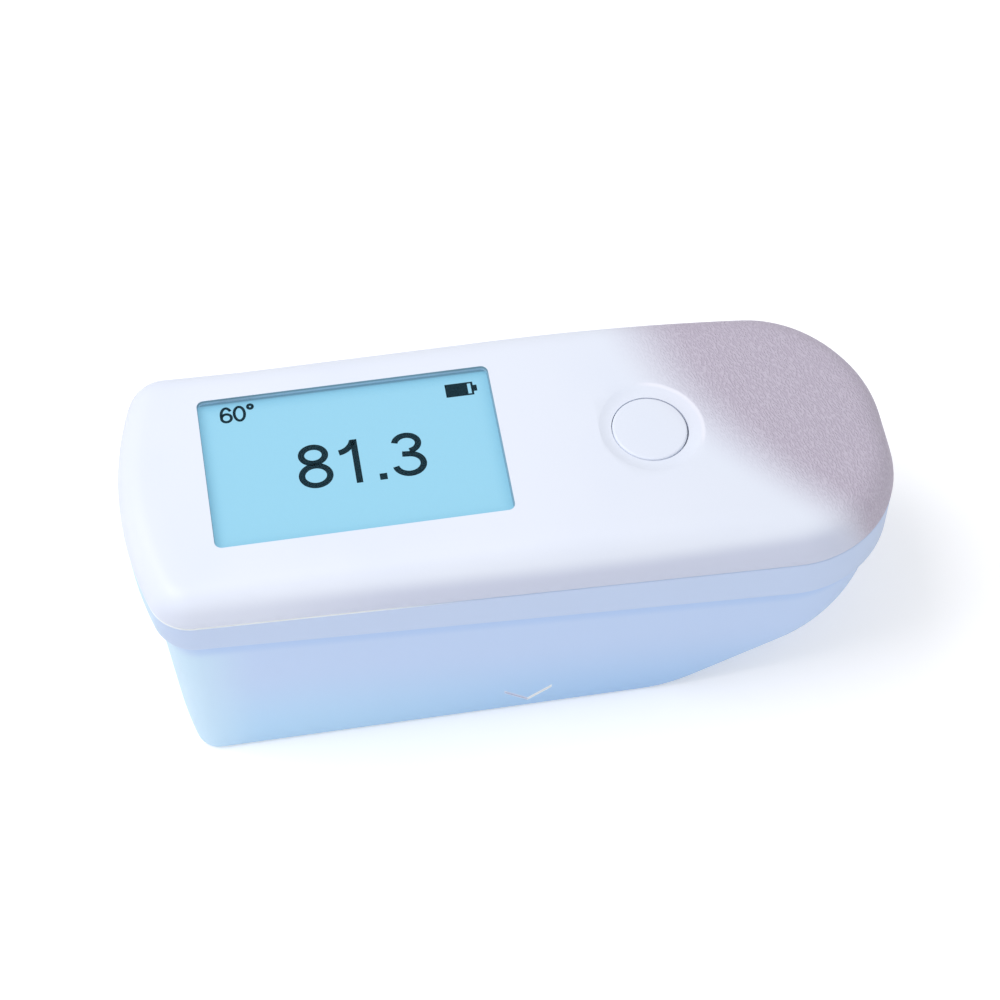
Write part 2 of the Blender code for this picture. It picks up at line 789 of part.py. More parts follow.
def main_board():
    low = BOARD_TOP - BOARD_THICKNESS
    board = box(
        "main_board",
        (-BOARD_FRONT, -BOARD_WIDTH / 2, low),
        (BOARD_BACK, BOARD_WIDTH / 2, BOARD_TOP),
        BOARD,
        round_edges=THROUGH,
    )
    tongue = helper_box(
        "board_tongue",
        (-BOARD_FRONT - TONGUE_FRONT, -TONGUE_WIDTH / 2, low),
        (BOARD_BACK + TONGUE_BACK, TONGUE_WIDTH / 2, BOARD_TOP),
    )
    join(board, tongue)
    for end, (x, y) in enumerate(zip(BOARD_SCREW_X, BOARD_SCREW_Y)):
        for side in (-1, 1):
            hole = helper_rod(
                f"board_hole_{end}_{side}",
                (x, side * y, low - THROUGH),
                (x, side * y, BOARD_TOP + THROUGH),
                SMALL_SHANK + GAP,
                12,
            )
            cut(board, hole)
            screw(
                f"board_screw_{end + 1}_{'near' if side < 0 else 'far'}",
                (x, side * y, low - GAP),
                SMALL_HEAD,
                SMALL_HEAD_HEIGHT,
                SMALL_SHANK,
                BOARD_SCREW,
            )
    chips = (("processor_chip", PROCESSOR_X, CHIP_SIDE), ("memory_chip", MEMORY_X, MEMORY_SIDE))
    for name, x, side_length in chips:
        top = low - GAP
        box(
            name,
            *centred(x, 0, side_length, side_length, top - CHIP_HEIGHT, top),
            CHIP,
        )


def screw(name, seat, head_radius, head_height, shank_radius, length):
    """A screw pointing up, its head under the seat point."""
    turned(
        name,
        [
            (0.0, length),
            (shank_radius * 0.6, length),
            (shank_radius, length - shank_radius),
            (shank_radius, 0.0),
            (head_radius, 0.0),
            (head_radius, -head_height * 0.6),
            (head_radius * 0.7, -head_height),
            (0.0, -head_height),
        ],
        seat,
        (0, 0, 1),
        STEEL,
        sides=SCREW_SIDES,
    )


def button():
    """The cap, its switch and the switch's stem. The cap's origin is on its sliding axis."""
    under = HEIGHT - UPPER_WALL - GAP
    foot = BOARD_TOP + GAP + SWITCH_HEIGHT + PLUNGER_RISE + GAP
    cap_top = HEIGHT - 0.0003
    turned(
        "measure_button",
        [
            (0.0, cap_top),
            (BUTTON_RADIUS - CAP_BEVEL, cap_top),
            (BUTTON_RADIUS, cap_top - CAP_BEVEL),
            (BUTTON_RADIUS, under),
            (BUTTON_RADIUS + BUTTON_FLANGE, under),
            (BUTTON_RADIUS + BUTTON_FLANGE, under - BUTTON_FLANGE_DEPTH),
            (BUTTON_STEM, under - BUTTON_FLANGE_DEPTH),
            (BUTTON_STEM, foot),
            (0.0, foot),
        ],
        (BUTTON_X, 0, 0),
        (0, 0, 1),
        WHITE,
    )
    switch_low = BOARD_TOP + GAP
    switch_top = switch_low + SWITCH_HEIGHT
    switch = box(
        "tact_switch",
        *centred(BUTTON_X, 0, SWITCH_SIDE, SWITCH_SIDE, switch_low, switch_top),
        CHIP,
    )
    well_floor = switch_top - 0.0016
    well = helper_rod(
        "switch_well", (BUTTON_X, 0, well_floor), (BUTTON_X, 0, HEIGHT), PLUNGER_RADIUS + GAP
    )
    cut(switch, well)
    rod(
        "switch_plunger",
        (BUTTON_X, 0, well_floor + BUTTON_TRAVEL + GAP),
        (BUTTON_X, 0, switch_top + PLUNGER_RISE),
        PLUNGER_RADIUS,
        BLACK,
        sides=20,
    )


def along(side, distance, across=0.0):
    """A point on a beam's axis, the source's at side -1 and the receiver's at side 1."""
    sine, cosine = math.sin(BEAM_ANGLE), math.cos(BEAM_ANGLE)
    return Vector(
        (side * (distance * sine - across * cosine), 0.0, distance * cosine + across * sine)
    )


def beam_box(name, side, start, end, half, group=PARTS, paint=None):
    """A square bar along a beam's axis."""
    obj = box(name, (-half, -half, 0), (half, half, end - start), paint, group)
    obj.rotation_mode = "XYZ"
    obj.rotation_euler = (0, side * BEAM_ANGLE, 0)
    obj.location = along(side, start)
    return obj


def measuring_head():
    block = box(
        "optical_block",
        *centred(
            0, 0, BLOCK_LENGTH, BLOCK_WIDTH, BLOCK_BOTTOM, BLOCK_BOTTOM + BLOCK_HEIGHT
        ),
        BLACK,
    )
    for side, word in ((-1, "source"), (1, "receiver")):
        join(block, beam_box(f"{word}_arm", side, ARM_START, ARM_LENGTH, ARM_HALF, CUTTERS))
    for side, word in ((-1, "source"), (1, "receiver")):
        bore = helper_rod(
            f"{word}_bore", along(side, LENS_SEAT), along(side, ARM_LENGTH + BORE_OVERRUN), BORE_RADIUS
        )
        beam = helper_rod(
            f"{word}_beam", along(side, 0.002), along(side, LENS_SEAT + THROUGH), BEAM_RADIUS
        )
        cut(block, bore, beam)
    pocket = helper_box(
        "glass_pocket",
        *centred(
            0,
            0,
            SLOT_LENGTH + 0.002 + 2 * GAP,
            SLOT_WIDTH + 0.002 + 2 * GAP,
            BLOCK_BOTTOM - THROUGH,
            BLOCK_BOTTOM + DUST_GLASS + GAP,
        ),
    )
    cut(block, pocket)
    box(
        "dust_window",
        *centred(
            0,
            0,
            SLOT_LENGTH + 0.002,
            SLOT_WIDTH + 0.002,
            BLOCK_BOTTOM,
            BLOCK_BOTTOM + DUST_GLASS,
        ),
        GLASS,
    )
    disc = BORE_RADIUS - GAP
    bulge = LENS_HALF_THICKNESS
    edge = bulge * 0.4
    lens_place = LENS_SEAT + GAP + bulge
    ring_place = lens_place + bulge * 0.4 + GAP
    for side, word in ((-1, "source"), (1, "receiver")):
        direction = along(side, 1.0)
        lens_profile = [(0.0, bulge), (disc * 0.5, bulge * 0.85), (disc, edge)]
        lens_profile += [(r, -z) for r, z in lens_profile[::-1]]
        turned(f"{word}_lens", lens_profile, along(side, lens_place), direction, GLASS)
        hollow = BEAM_RADIUS
        turned(
            f"{word}_lens_ring",
            [
                (hollow, RING_THICKNESS),
                (disc, RING_THICKNESS),
                (disc, 0.0),
                (hollow, 0.0),
                (hollow, RING_THICKNESS),
            ],
            along(side, ring_place),
            direction,
            BLACK,
        )
        hole = STOP_HOLE
        turned(
            "source_slit" if side < 0 else "receiver_stop",
            [
                (hole, STOP_THICKNESS),
                (disc, STOP_THICKNESS),
                (disc, 0.0),
                (hole, 0.0),
                (hole, STOP_THICKNESS),
            ],
            along(side, STOP_PLACE),
            direction,
            BLACK,
        )
        radius = LAMP_RADIUS if side < 0 else DETECTOR_RADIUS
        foot = ARM_LENGTH
        nose = STOP_PLACE + STOP_THICKNESS + GAP
        turned(
            "light_source" if side < 0 else "photodetector",
            [
                (0.0, foot - nose),
                (disc, foot - nose),
                (disc, foot - nose - THROUGH),
                (radius, foot - nose - THROUGH),
                (radius, THROUGH),
                (radius * 0.6, 0.0),
                (0.0, 0.0),
            ],
            along(side, nose),
            direction,
            DIFFUSER if side < 0 else STEEL,
        )
        start = ARM_LENGTH + GAP
        beam_box(
            "source_board" if side < 0 else "detector_board",
            side,
            start,
            start + BOARD_THICKNESS,
            SMALL_BOARD / 2,
            paint=BOARD,
        )


def base_plate():
    plate = box(
        "base_plate",
        *centred(0, 0, PLATE_LENGTH, PLATE_WIDTH, 0, FLANGE_TOP),
        PLATE,
        round_edges=PLATE_CORNER,
    )
    flange = helper_box(
        "plate_flange",
        *centred(0, 0, FLANGE_LENGTH, FLANGE_WIDTH, FLOOR + GAP, FLANGE_TOP),
    )
    join(plate, flange)
    slot = helper_box(
        "aperture_slot",
        *centred(0, 0, SLOT_LENGTH, SLOT_WIDTH, -THROUGH, FLANGE_TOP + THROUGH),
        SLOT_WIDTH * 0.45,
    )
    cut(plate, slot)
    for side in (-1, 1):
        word = "near" if side < 0 else "far"
        seat = (0, side * BLOCK_SCREW_Y, 0.0016)
        head = helper_rod(
            f"block_head_{word}",
            (0, side * BLOCK_SCREW_Y, -THROUGH),
            (0, side * BLOCK_SCREW_Y, 0.0016 + GAP),
            0.0018 + GAP,
            20,
        )
        through = helper_rod(
            f"block_hole_{word}",
            (0, side * BLOCK_SCREW_Y, THROUGH),
            (0, side * BLOCK_SCREW_Y, 0.0120),
            SHANK_RADIUS + GAP,
            16,
        )
        cut(plate, head, through)
        cut(bpy.data.objects["optical_block"], through)
        screw(f"block_screw_{word}", seat, BLOCK_HEAD, BLOCK_HEAD_HEIGHT, SHANK_RADIUS, BLOCK_SCREW)
        for end in (-1, 1):
            x, y = end * PLATE_SCREW_X, side * PLATE_SCREW_Y
            hole = helper_rod(
                f"flange_hole_{word}_{end}", (x, y, 0), (x, y, 0.01), SMALL_SHANK + GAP, 12
            )
            cut(plate, hole)
            turned(
                f"plate_screw_{'front' if end < 0 else 'back'}_{word}",
                [
                    (0.0, SMALL_HEAD_HEIGHT),
                    (SMALL_HEAD * 0.7, SMALL_HEAD_HEIGHT),
                    (SMALL_HEAD, SMALL_HEAD_HEIGHT * 0.4),
                    (SMALL_HEAD, 0.0),
                    (SMALL_SHANK, 0.0),
                    (SMALL_SHANK, -FLANGE_THICKNESS - 0.0014),
                    (0.0, -FLANGE_THICKNESS - 0.0014),
                ],
                (x, y, FLANGE_TOP + GAP),
                (0, 0, 1),
                STEEL,
                sides=SCREW_SIDES,
            )


def batteries():
    centre = DOOR_INSET + DOOR_THICKNESS + GAP + CELL_RADIUS
    for word, shift, turn in (("outer", -CELL_PITCH / 2, 1), ("inner", CELL_PITCH / 2, -1)):
        half = CELL_LENGTH / 2
        turned(
            f"battery_cell_{word}",
            [
                (0.0, half),
                (0.0019, half),
                (0.0019, half - 0.0008),
                (CELL_RADIUS - 0.0004, half - 0.0008),
                (CELL_RADIUS, half - 0.0012),
                (CELL_RADIUS, -half + 0.0004),
                (CELL_RADIUS - 0.0004, -half),
                (0.0, -half),
            ],
            (CELL_X + shift, 0, centre),
            (0, turn, 0),
            CELL,
        )
    for side, word in ((-1, "near"), (1, "far")):
        inner = CELL_LENGTH / 2 + 0.0002
        ends = sorted((side * inner, side * (inner + CONTACT_THICKNESS)))
        box(
            f"contact_{word}",
            (CELL_X - BAY_HALF + GAP, ends[0], centre - 0.0035),
            (CELL_X + BAY_HALF - GAP, ends[1], centre + 0.0035),
            NICKEL,
        )


def battery_door():
    """The door, with its origin on its pivots' axis."""
    far_edge = CELL_X - BAY_HALF + GAP
    door = box(
        "battery_door",
        (far_edge - HINGE_X, -DOOR_WIDTH / 2, -DOOR_THICKNESS / 2),
        (0, DOOR_WIDTH / 2, DOOR_THICKNESS / 2),
        PALE_BLUE,
        round_edges=DOOR_CORNER,
    )
    door.location = (HINGE_X, 0, HINGE_Z)
    half = DOOR_WIDTH / 2
    knuckle = helper_rod(
        "door_knuckle", (HINGE_X, -half, HINGE_Z), (HINGE_X, half, HINGE_Z), DOOR_THICKNESS / 2
    )
    reach = half + PIVOT_LENGTH
    pins = helper_rod(
        "door_pins", (HINGE_X, -reach, HINGE_Z), (HINGE_X, reach, HINGE_Z), PIVOT_RADIUS, 16
    )
    join(door, knuckle, pins)
    for i in range(GROOVES):
        x = far_edge + GROOVE_START + i * GROOVE_PITCH
        groove = helper_box(
            f"door_groove_{i}",
            *centred(x, 0, GROOVE_WIDTH, GROOVE_LENGTH, -THROUGH, DOOR_INSET + GROOVE_DEPTH),
        )
        cut(door, groove)


def case_screws():
    for side, word in ((-1, "near"), (1, "far")):
        screw(
            f"case_screw_{word}",
            (PILLAR_X, side * PILLAR_Y, SCREW_SEAT - GAP),
            HEAD_RADIUS,
            HEAD_HEIGHT,
            SHANK_RADIUS,
            CASE_SCREW_LENGTH,
        )


def near_wall_mark():
    """The V on the near wall, over the middle of the aperture."""
    shell = bpy.data.objects["lower_shell"]
    face = -(WIDTH / 2 - BASE_INSET)
    for side in (-1, 1):
        mark = helper_box(
            f"mark_{side}",
            (-MARK_WIDTH / 2, -MARK_DEPTH, 0.0),
            (MARK_WIDTH / 2, MARK_DEPTH, MARK_ARM),
        )
        mark.location = (0.0, face, MARK_HEIGHT)
        mark.rotation_euler = (0, side * MARK_TURN, 0)
        cut(shell, mark)


upper_shell()
lower_shell()
near_wall_mark()
display_stack()
main_board()
button()
measuring_head()
base_plate()
batteries()
battery_door()
case_screws()
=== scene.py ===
"""The looks of a hand-held 60 degree gloss meter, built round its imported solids."""

import json
import logging
import math
from collections.abc import Callable, Sequence
from dataclasses import dataclass, field
from enum import Enum
from functools import partial

import bmesh
import bpy
from mathutils import Matrix, Vector


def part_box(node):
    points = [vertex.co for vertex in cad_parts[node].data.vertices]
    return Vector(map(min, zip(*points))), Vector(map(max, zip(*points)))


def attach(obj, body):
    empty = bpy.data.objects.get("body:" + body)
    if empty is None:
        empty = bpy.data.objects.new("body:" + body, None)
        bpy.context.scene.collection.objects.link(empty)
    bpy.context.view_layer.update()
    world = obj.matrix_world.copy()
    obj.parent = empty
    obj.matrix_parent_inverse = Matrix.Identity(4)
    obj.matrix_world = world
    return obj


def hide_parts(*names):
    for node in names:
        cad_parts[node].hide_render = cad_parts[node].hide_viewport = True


LOG = logging.getLogger("gloss_meter")
Point = tuple[float, float]
# Where a smooth step starts and where it is full.
Ramp = tuple[float, float]
Triple = tuple[float, float, float]
Color = Triple
Mesh = bmesh.types.BMesh
Object = bpy.types.Object
Material = bpy.types.Material
Curve = Callable[[float], float]
Rings = list[list[Vector]]

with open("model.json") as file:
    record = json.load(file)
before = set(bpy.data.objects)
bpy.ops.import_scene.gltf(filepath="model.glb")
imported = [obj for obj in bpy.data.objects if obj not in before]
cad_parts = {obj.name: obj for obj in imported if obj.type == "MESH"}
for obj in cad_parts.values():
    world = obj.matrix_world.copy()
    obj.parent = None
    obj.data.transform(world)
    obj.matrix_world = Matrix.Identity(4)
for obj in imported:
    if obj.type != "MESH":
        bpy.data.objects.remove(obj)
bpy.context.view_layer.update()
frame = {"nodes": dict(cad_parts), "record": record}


class Change(Enum):
    """What a Boolean does with the other object."""

    ADD = "UNION"
    CUT = "DIFFERENCE"


class Face(Enum):
    """Where the flat beside a rounded edge is: over its wall or under it."""

    ROOF = 1
    BASE = -1


@dataclass(frozen=True)
class Layout:
    """The places that the finishes, the shells and the display share."""

    window_centre: Point = (-0.0299, 0.0017)
    window_size: Point = (0.0563, 0.0337)
    button: float = 0.02705
    pillar: Point = (0.0235, 0.0185)


LAYOUT = Layout()
# How far a cutter stands past the faces that it cuts, in metres.
CLEAR = 0.001


@dataclass(frozen=True)
class Value:
    """A number or colour socket that builds Math nodes from Python operators."""

    graph: "Graph"
    socket: bpy.types.NodeSocket

    def __add__(self, other: "Value | float") -> "Value":
        """Self plus other."""
        return self.graph.math("ADD", self, other)

    def __radd__(self, other: float) -> "Value":
        """Other plus self."""
        return self.graph.math("ADD", other, self)

    def __sub__(self, other: "Value | float") -> "Value":
        """Self minus other."""
        return self.graph.math("SUBTRACT", self, other)

    def __rsub__(self, other: float) -> "Value":
        """Other minus self."""
        return self.graph.math("SUBTRACT", other, self)

    def __mul__(self, other: "Value | float") -> "Value":
        """Self times other."""
        return self.graph.math("MULTIPLY", self, other)

    def __abs__(self) -> "Value":
        """The size of self."""
        return self.graph.math("ABSOLUTE", self)


class Graph:
    """A material's node tree with a Principled shader at its end."""

    def __init__(self, name: str) -> None:
        """Starts a material of this name.

        Args:
            name: The material's name.
        """
        self.material = bpy.data.materials.new(name)
        self.material.use_nodes = True
        self.tree = self.material.node_tree
        self.shader = self.tree.nodes["Principled BSDF"]
        self.where = self.value("ShaderNodeTexCoord", {}, {}, "Object")

    def node(
        self, kind: str, settings: dict[str, object], inputs: dict[str | int, object]
    ) -> bpy.types.Node:
        """Adds a node.

        Args:
            kind: The node's type name.
            settings: Its properties, set before its sockets.
            inputs: Values, or Value links, for its sockets.

        Returns:
            The new node.
        """
        made = self.tree.nodes.new(kind)
        for key, setting in settings.items():
            setattr(made, key, setting)
        for key, value in inputs.items():
            self.feed(made.inputs[key], value)
        return made

    def feed(self, socket: bpy.types.NodeSocket, value: object) -> None:
        """Links or sets one input socket.

        Args:
            socket: The input socket.
            value: A Value to link, or a plain value.
        """
        if isinstance(value, Value):
            self.tree.links.new(value.socket, socket)
        else:
            socket.default_value = value

    def value(
        self,
        kind: str,
        settings: dict[str, object],
        inputs: dict[str | int, object],
        output: str | int = 0,
    ) -> Value:
        """One output of a new node."""
        return Value(self, self.node(kind, settings, inputs).outputs[output])

    def math(self, operation: str, *values: "Value | float") -> Value:
        """A Math node on these values."""
        return self.value("ShaderNodeMath", {"operation": operation}, dict(enumerate(values)))

    def axes(self) -> tuple[Value, Value, Value]:
        """The X, Y and Z of the Object coordinates."""
        parts = self.node("ShaderNodeSeparateXYZ", {}, {0: self.where})
        return tuple(Value(self, output) for output in parts.outputs)

    def mapped(self, turn: float = 0.0, stretch: Triple = (1.0, 1.0, 1.0)) -> Value:
        """Object coordinates with features turned about Z, then stretched along their axes."""
        inputs = {"Vector": self.where, "Rotation": (0.0, 0.0, turn), "Scale": stretch}
        return self.value("ShaderNodeMapping", {"vector_type": "TEXTURE"}, inputs)

    def noise(self, vector: Value, scale: float, detail: float) -> Value:
        """Fractal noise over a vector."""
        inputs = {"Vector": vector, "Scale": scale, "Detail": detail}
        return self.value("ShaderNodeTexNoise", {}, inputs, "Fac")

    def step(self, value: Value, low: float, high: float) -> Value:
        """A smooth step from 0 at low to 1 at high."""
        inputs = {"Value": value, "From Min": low, "From Max": high}
        return self.value("ShaderNodeMapRange", {"interpolation_type": "SMOOTHSTEP"}, inputs)

    def blend(self, share: Value | float, first: Value | Color, second: Value | Color) -> Value:
        """A mix of two colours.

        Args:
            share: How much of the second colour shows.
            first: A colour.
            second: Another colour.

        Returns:
            The mixed colour.
        """
        made = self.node("ShaderNodeMix", {"data_type": "RGBA"}, {"Factor": share})
        for socket, color in ((made.inputs[6], first), (made.inputs[7], second)):
            self.feed(socket, color if isinstance(color, Value) else (*color, 1.0))
        return Value(self, made.outputs[2])

    def bump(self, height: Value, depth: float) -> None:
        """Feeds the shader's normal from a height."""
        normal = self.value("ShaderNodeBump", {}, {"Height": height, "Distance": depth})
        self.feed(self.shader.inputs["Normal"], normal)

    def surface(self, **inputs: object) -> None:
        """Sets the shader's sockets, their names written with underscores.

        Args:
            inputs: A value or a Value for each socket.
        """
        for key, value in inputs.items():
            name = key.replace("_", " ").title().replace("Ior", "IOR")
            if isinstance(value, tuple) and len(value) == 3:
                value = (*value, 1.0)
            self.feed(self.shader.inputs[name], value)


def srgb(red: int, green: int, blue: int) -> Color:
    """A display colour as linear light."""
    shares = [channel / 255 for channel in (red, green, blue)]
    return tuple(s / 12.92 if s <= 0.04045 else ((s + 0.055) / 1.055) ** 2.4 for s in shares)


@dataclass(frozen=True)
class WhiteShell:
    """Satin white moulding with a fine leather grain that fades in towards the palm end, under a
    painted shadow of the hand; painted shade on the near side and the window recess walls, and a
    painted highlight round the dish.
    """

    slot: str = "white_shell"
    color: Color = srgb(230, 236, 249)
    cool: Color = srgb(226, 233, 248)
    # Painted shadow and lavender reflection of the hand over the palm end; the grain streaks in it
    # are real.
    palm: Color = srgb(188, 179, 197)
    palm_shadow_grain: Color = srgb(200, 192, 209)
    # Painted highlight along the dish's outer rim, only where the palm shadow lies.
    dish_rim_highlight: Color = srgb(240, 241, 253)
    # Painted shade on the near side below the roof's edge.
    side: Color = srgb(202, 208, 229)
    # Painted shade on the window recess walls, darker still along their top.
    recess: Color = srgb(160, 192, 214)
    recess_edge_shade: Color = srgb(122, 155, 172)
    roughness: float = 0.42
    specular: float = 0.4
    cloud_scale: float = 26.0
    cloud: Ramp = (0.35, 0.7)
    # Where the painted palm shadow starts and where it is full, along a line that leans and bows
    # across the roof.
    palm_start: Ramp = (0.0302, 0.0495)
    palm_shadow_lean: float = 0.68
    palm_shadow_curve: float = 10.0
    grain_turn: float = math.radians(-72)
    grain_stretch: Triple = (2.0, 1.0, 1.4)
    grain_scale: float = 2900.0
    grain: Ramp = (0.34, 0.66)
    grain_depth: float = 0.0001
    fine_scale: float = 2600.0
    dish_end: Ramp = (0.0101, 0.0109)
    dish_shade: float = 0.45
    rim_highlight_start: Ramp = (0.0096, 0.0102)
    rim_highlight_end: Ramp = (0.0108, 0.0104)
    painted_line_share: float = 0.8
    # Ramps of the painted shade on the near side.
    side_shade_fall: float = 0.03
    side_shade_top: Ramp = (0.0556, 0.0518)
    side_shade_edge: Ramp = (-0.0225, -0.0268)
    side_shade_front: Ramp = (-0.064, -0.02)
    side_shade_share: Ramp = (0.35, 0.5)
    # Ramps of the painted shade on the window recess walls.
    recess_shade_top: Ramp = (0.05799, 0.05794)
    recess_shade_room: Ramp = (0.0005, 0.0003)
    recess_shade_fade: Ramp = (0.0575, 0.0576)

    def material(self) -> Material:
        """The finish's material.

        Returns:
            The material.
        """
        graph = Graph(self.slot)
        whole = graph.mapped()
        x, y, z = graph.axes()
        fine = graph.noise(whole, self.fine_scale, 2.0)
        cloud = graph.noise(whole, self.cloud_scale, 2.0)
        color = graph.blend(graph.step(cloud, *self.cloud), self.color, self.cool)

        reach = x - LAYOUT.button
        away = graph.math("SQRT", reach * reach + y * y)
        outside = graph.step(away, *self.dish_end)
        # Painted shadow of the hand over the palm end, weaker inside the dish, laid over the real
        # grain streaks.
        bowed = x + y * self.palm_shadow_lean - y * y * self.palm_shadow_curve
        shade = graph.step(bowed, *self.palm_start)
        palm = shade * (outside * (1 - self.dish_shade) + self.dish_shade)
        slanted = graph.mapped(self.grain_turn, self.grain_stretch)
        streak = graph.step(graph.noise(slanted, self.grain_scale, 1.0), *self.grain)
        shadowed_grain = graph.blend(streak * outside, self.palm, self.palm_shadow_grain)
        color = graph.blend(palm, color, shadowed_grain)
        # Painted highlight: a thin bright line round the dish's outer rim, inside the palm shadow.
        line = graph.step(away, *self.rim_highlight_start) * graph.step(away, *self.rim_highlight_end)
        line = line * graph.step(shade, 0.0, 0.15) * self.painted_line_share
        color = graph.blend(line, color, self.dish_rim_highlight)

        # Painted shade on the near side below the roof's edge, weaker towards the front.
        low = graph.step(z + x * self.side_shade_fall, *self.side_shade_top) * graph.step(y, *self.side_shade_edge)
        least, more = self.side_shade_share
        low = low * (graph.step(x, *self.side_shade_front) * more + least)
        color = graph.blend(low, color, self.side)

        # Painted shade on the walls of the window recess.
        inside = graph.step(z, *self.recess_shade_top)
        for way, middle, size in zip((x, y), LAYOUT.window_centre, LAYOUT.window_size):
            ends = (size / 2 + room for room in self.recess_shade_room)
            inside = inside * graph.step(abs(way - middle), *ends)
        recess_wall_shade = graph.blend(graph.step(z, *self.recess_shade_fade), self.recess, self.recess_edge_shade)
        graph.surface(
            base_color=graph.blend(inside, color, recess_wall_shade),
            roughness=self.roughness + palm * 0.1 + fine * 0.04,
            specular_ior_level=self.specular,
        )
        graph.bump(streak * shade * outside + fine * 0.08, self.grain_depth)
        return graph.material


@dataclass(frozen=True)
class PaleShell:
    """Satin pale blue moulding with painted light: lavender shade at its rim, sky blue towards the
    base, a lit front corner, a shade line under the rim and highlights at the seam and on the V
    mark.
    """

    slot: str = "pale_blue_shell"
    # Painted light over the pale blue plastic: lavender shade at the rim, lighter towards the base,
    # darker at the back.
    rim: Color = srgb(198, 215, 244)
    middle: Color = srgb(197, 218, 251)
    base: Color = srgb(188, 225, 255)
    base_back_shade: Color = srgb(176, 212, 250)
    corner: Color = srgb(206, 235, 255)
    # Painted light on the front corner and on the front of the rim.
    under: Color = srgb(166, 200, 245)
    # Painted shadow under the rim's lower edge.
    seam: Color = srgb(250, 254, 255)
    # Painted highlight along the seam at the top of the lower shell.
    mark: Color = srgb(222, 228, 246)
    # Painted light on the engraved V: a lighter tone on the left arm against its groove's shade, a
    # painted highlight on the right arm.
    mark_highlight: Color = srgb(252, 254, 255)
    roughness: float = 0.38
    specular: float = 0.4
    fine_scale: float = 2400.0
    fine_depth: float = 0.00001
    tilt: float = 0.08
    back: Ramp = (-0.045, 0.03)
    base_top: Ramp = (0.0, 0.026)
    rim_foot: Ramp = (0.034, 0.04)
    front: Ramp = (-0.052, -0.068)
    front_light_top: Ramp = (0.03, 0.037)
    front_light_rim: Ramp = (-0.069, -0.0735)
    shade_line_foot: Ramp = (0.032, 0.0346)
    shade_line_top: Ramp = (0.0386, 0.038)
    shade_line_front: Ramp = (-0.07, -0.06)
    painted_line_share: float = 0.45
    seam_highlight_fall: float = 0.0575
    seam_highlight_foot: Ramp = (0.04735, 0.04755)
    seam_highlight_front: Ramp = (-0.008, -0.034)
    mark_foot: float = 0.0034
    mark_way: Point = (0.643, 0.766)
    mark_edge: Ramp = (0.00046, 0.00036)
    mark_wall: Ramp = (-0.023, -0.0235)
    mark_reach: Ramp = (0.0049, 0.0047)
    mark_middle: Ramp = (-0.0001, 0.0001)

    def material(self) -> Material:
        """The finish's material.

        Returns:
            The material.
        """
        graph = Graph(self.slot)
        x, y, z = graph.axes()
        # Painted light: lavender shade towards the rim, lighter sky blue towards the base, darker
        # towards the back.
        tilted = z + x * self.tilt
        base = graph.blend(graph.step(x, *self.back), self.base, self.base_back_shade)
        color = graph.blend(graph.step(tilted, *self.base_top), base, self.middle)
        color = graph.blend(graph.step(tilted, *self.rim_foot), color, self.rim)

        # Painted light on the front corner and on the front of the rim.
        front = graph.step(x, *self.front) * (1.0 - graph.step(tilted, *self.front_light_top))
        front = graph.math("MAXIMUM", front, graph.step(x, *self.front_light_rim))
        color = graph.blend(front, color, self.corner)

        # Painted shadow: a soft blue line under the rim, fading out at the very front.
        line = graph.step(tilted, *self.shade_line_foot) * graph.step(tilted, *self.shade_line_top)
        line = line * graph.step(x, *self.shade_line_front)
        color = graph.blend(line * self.painted_line_share, color, self.under)
        # Painted highlight: a thin bright line just under the seam, fading out towards the back.
        seam = graph.step(z + x * self.seam_highlight_fall, *self.seam_highlight_foot)
        color = graph.blend(seam * graph.step(x, *self.seam_highlight_front), color, self.seam)

        # Painted light on the engraved V: the left arm in a lighter tone, the right arm in a
        # painted highlight.
        out, up = self.mark_way
        away = abs(abs(x) * out - (z - self.mark_foot) * up)
        mark = graph.step(away, *self.mark_edge) * graph.step(y, *self.mark_wall)
        mark = mark * graph.step(abs(x), *self.mark_reach)
        lit_and_shaded_arms = graph.blend(graph.step(x, *self.mark_middle), self.mark, self.mark_highlight)
        fine = graph.noise(graph.mapped(), self.fine_scale, 2.0)
        graph.surface(
            base_color=graph.blend(mark, color, lit_and_shaded_arms),
            roughness=self.roughness + fine * 0.08,
            specular_ior_level=self.specular,
        )
        graph.bump(fine, self.fine_depth)
        return graph.material


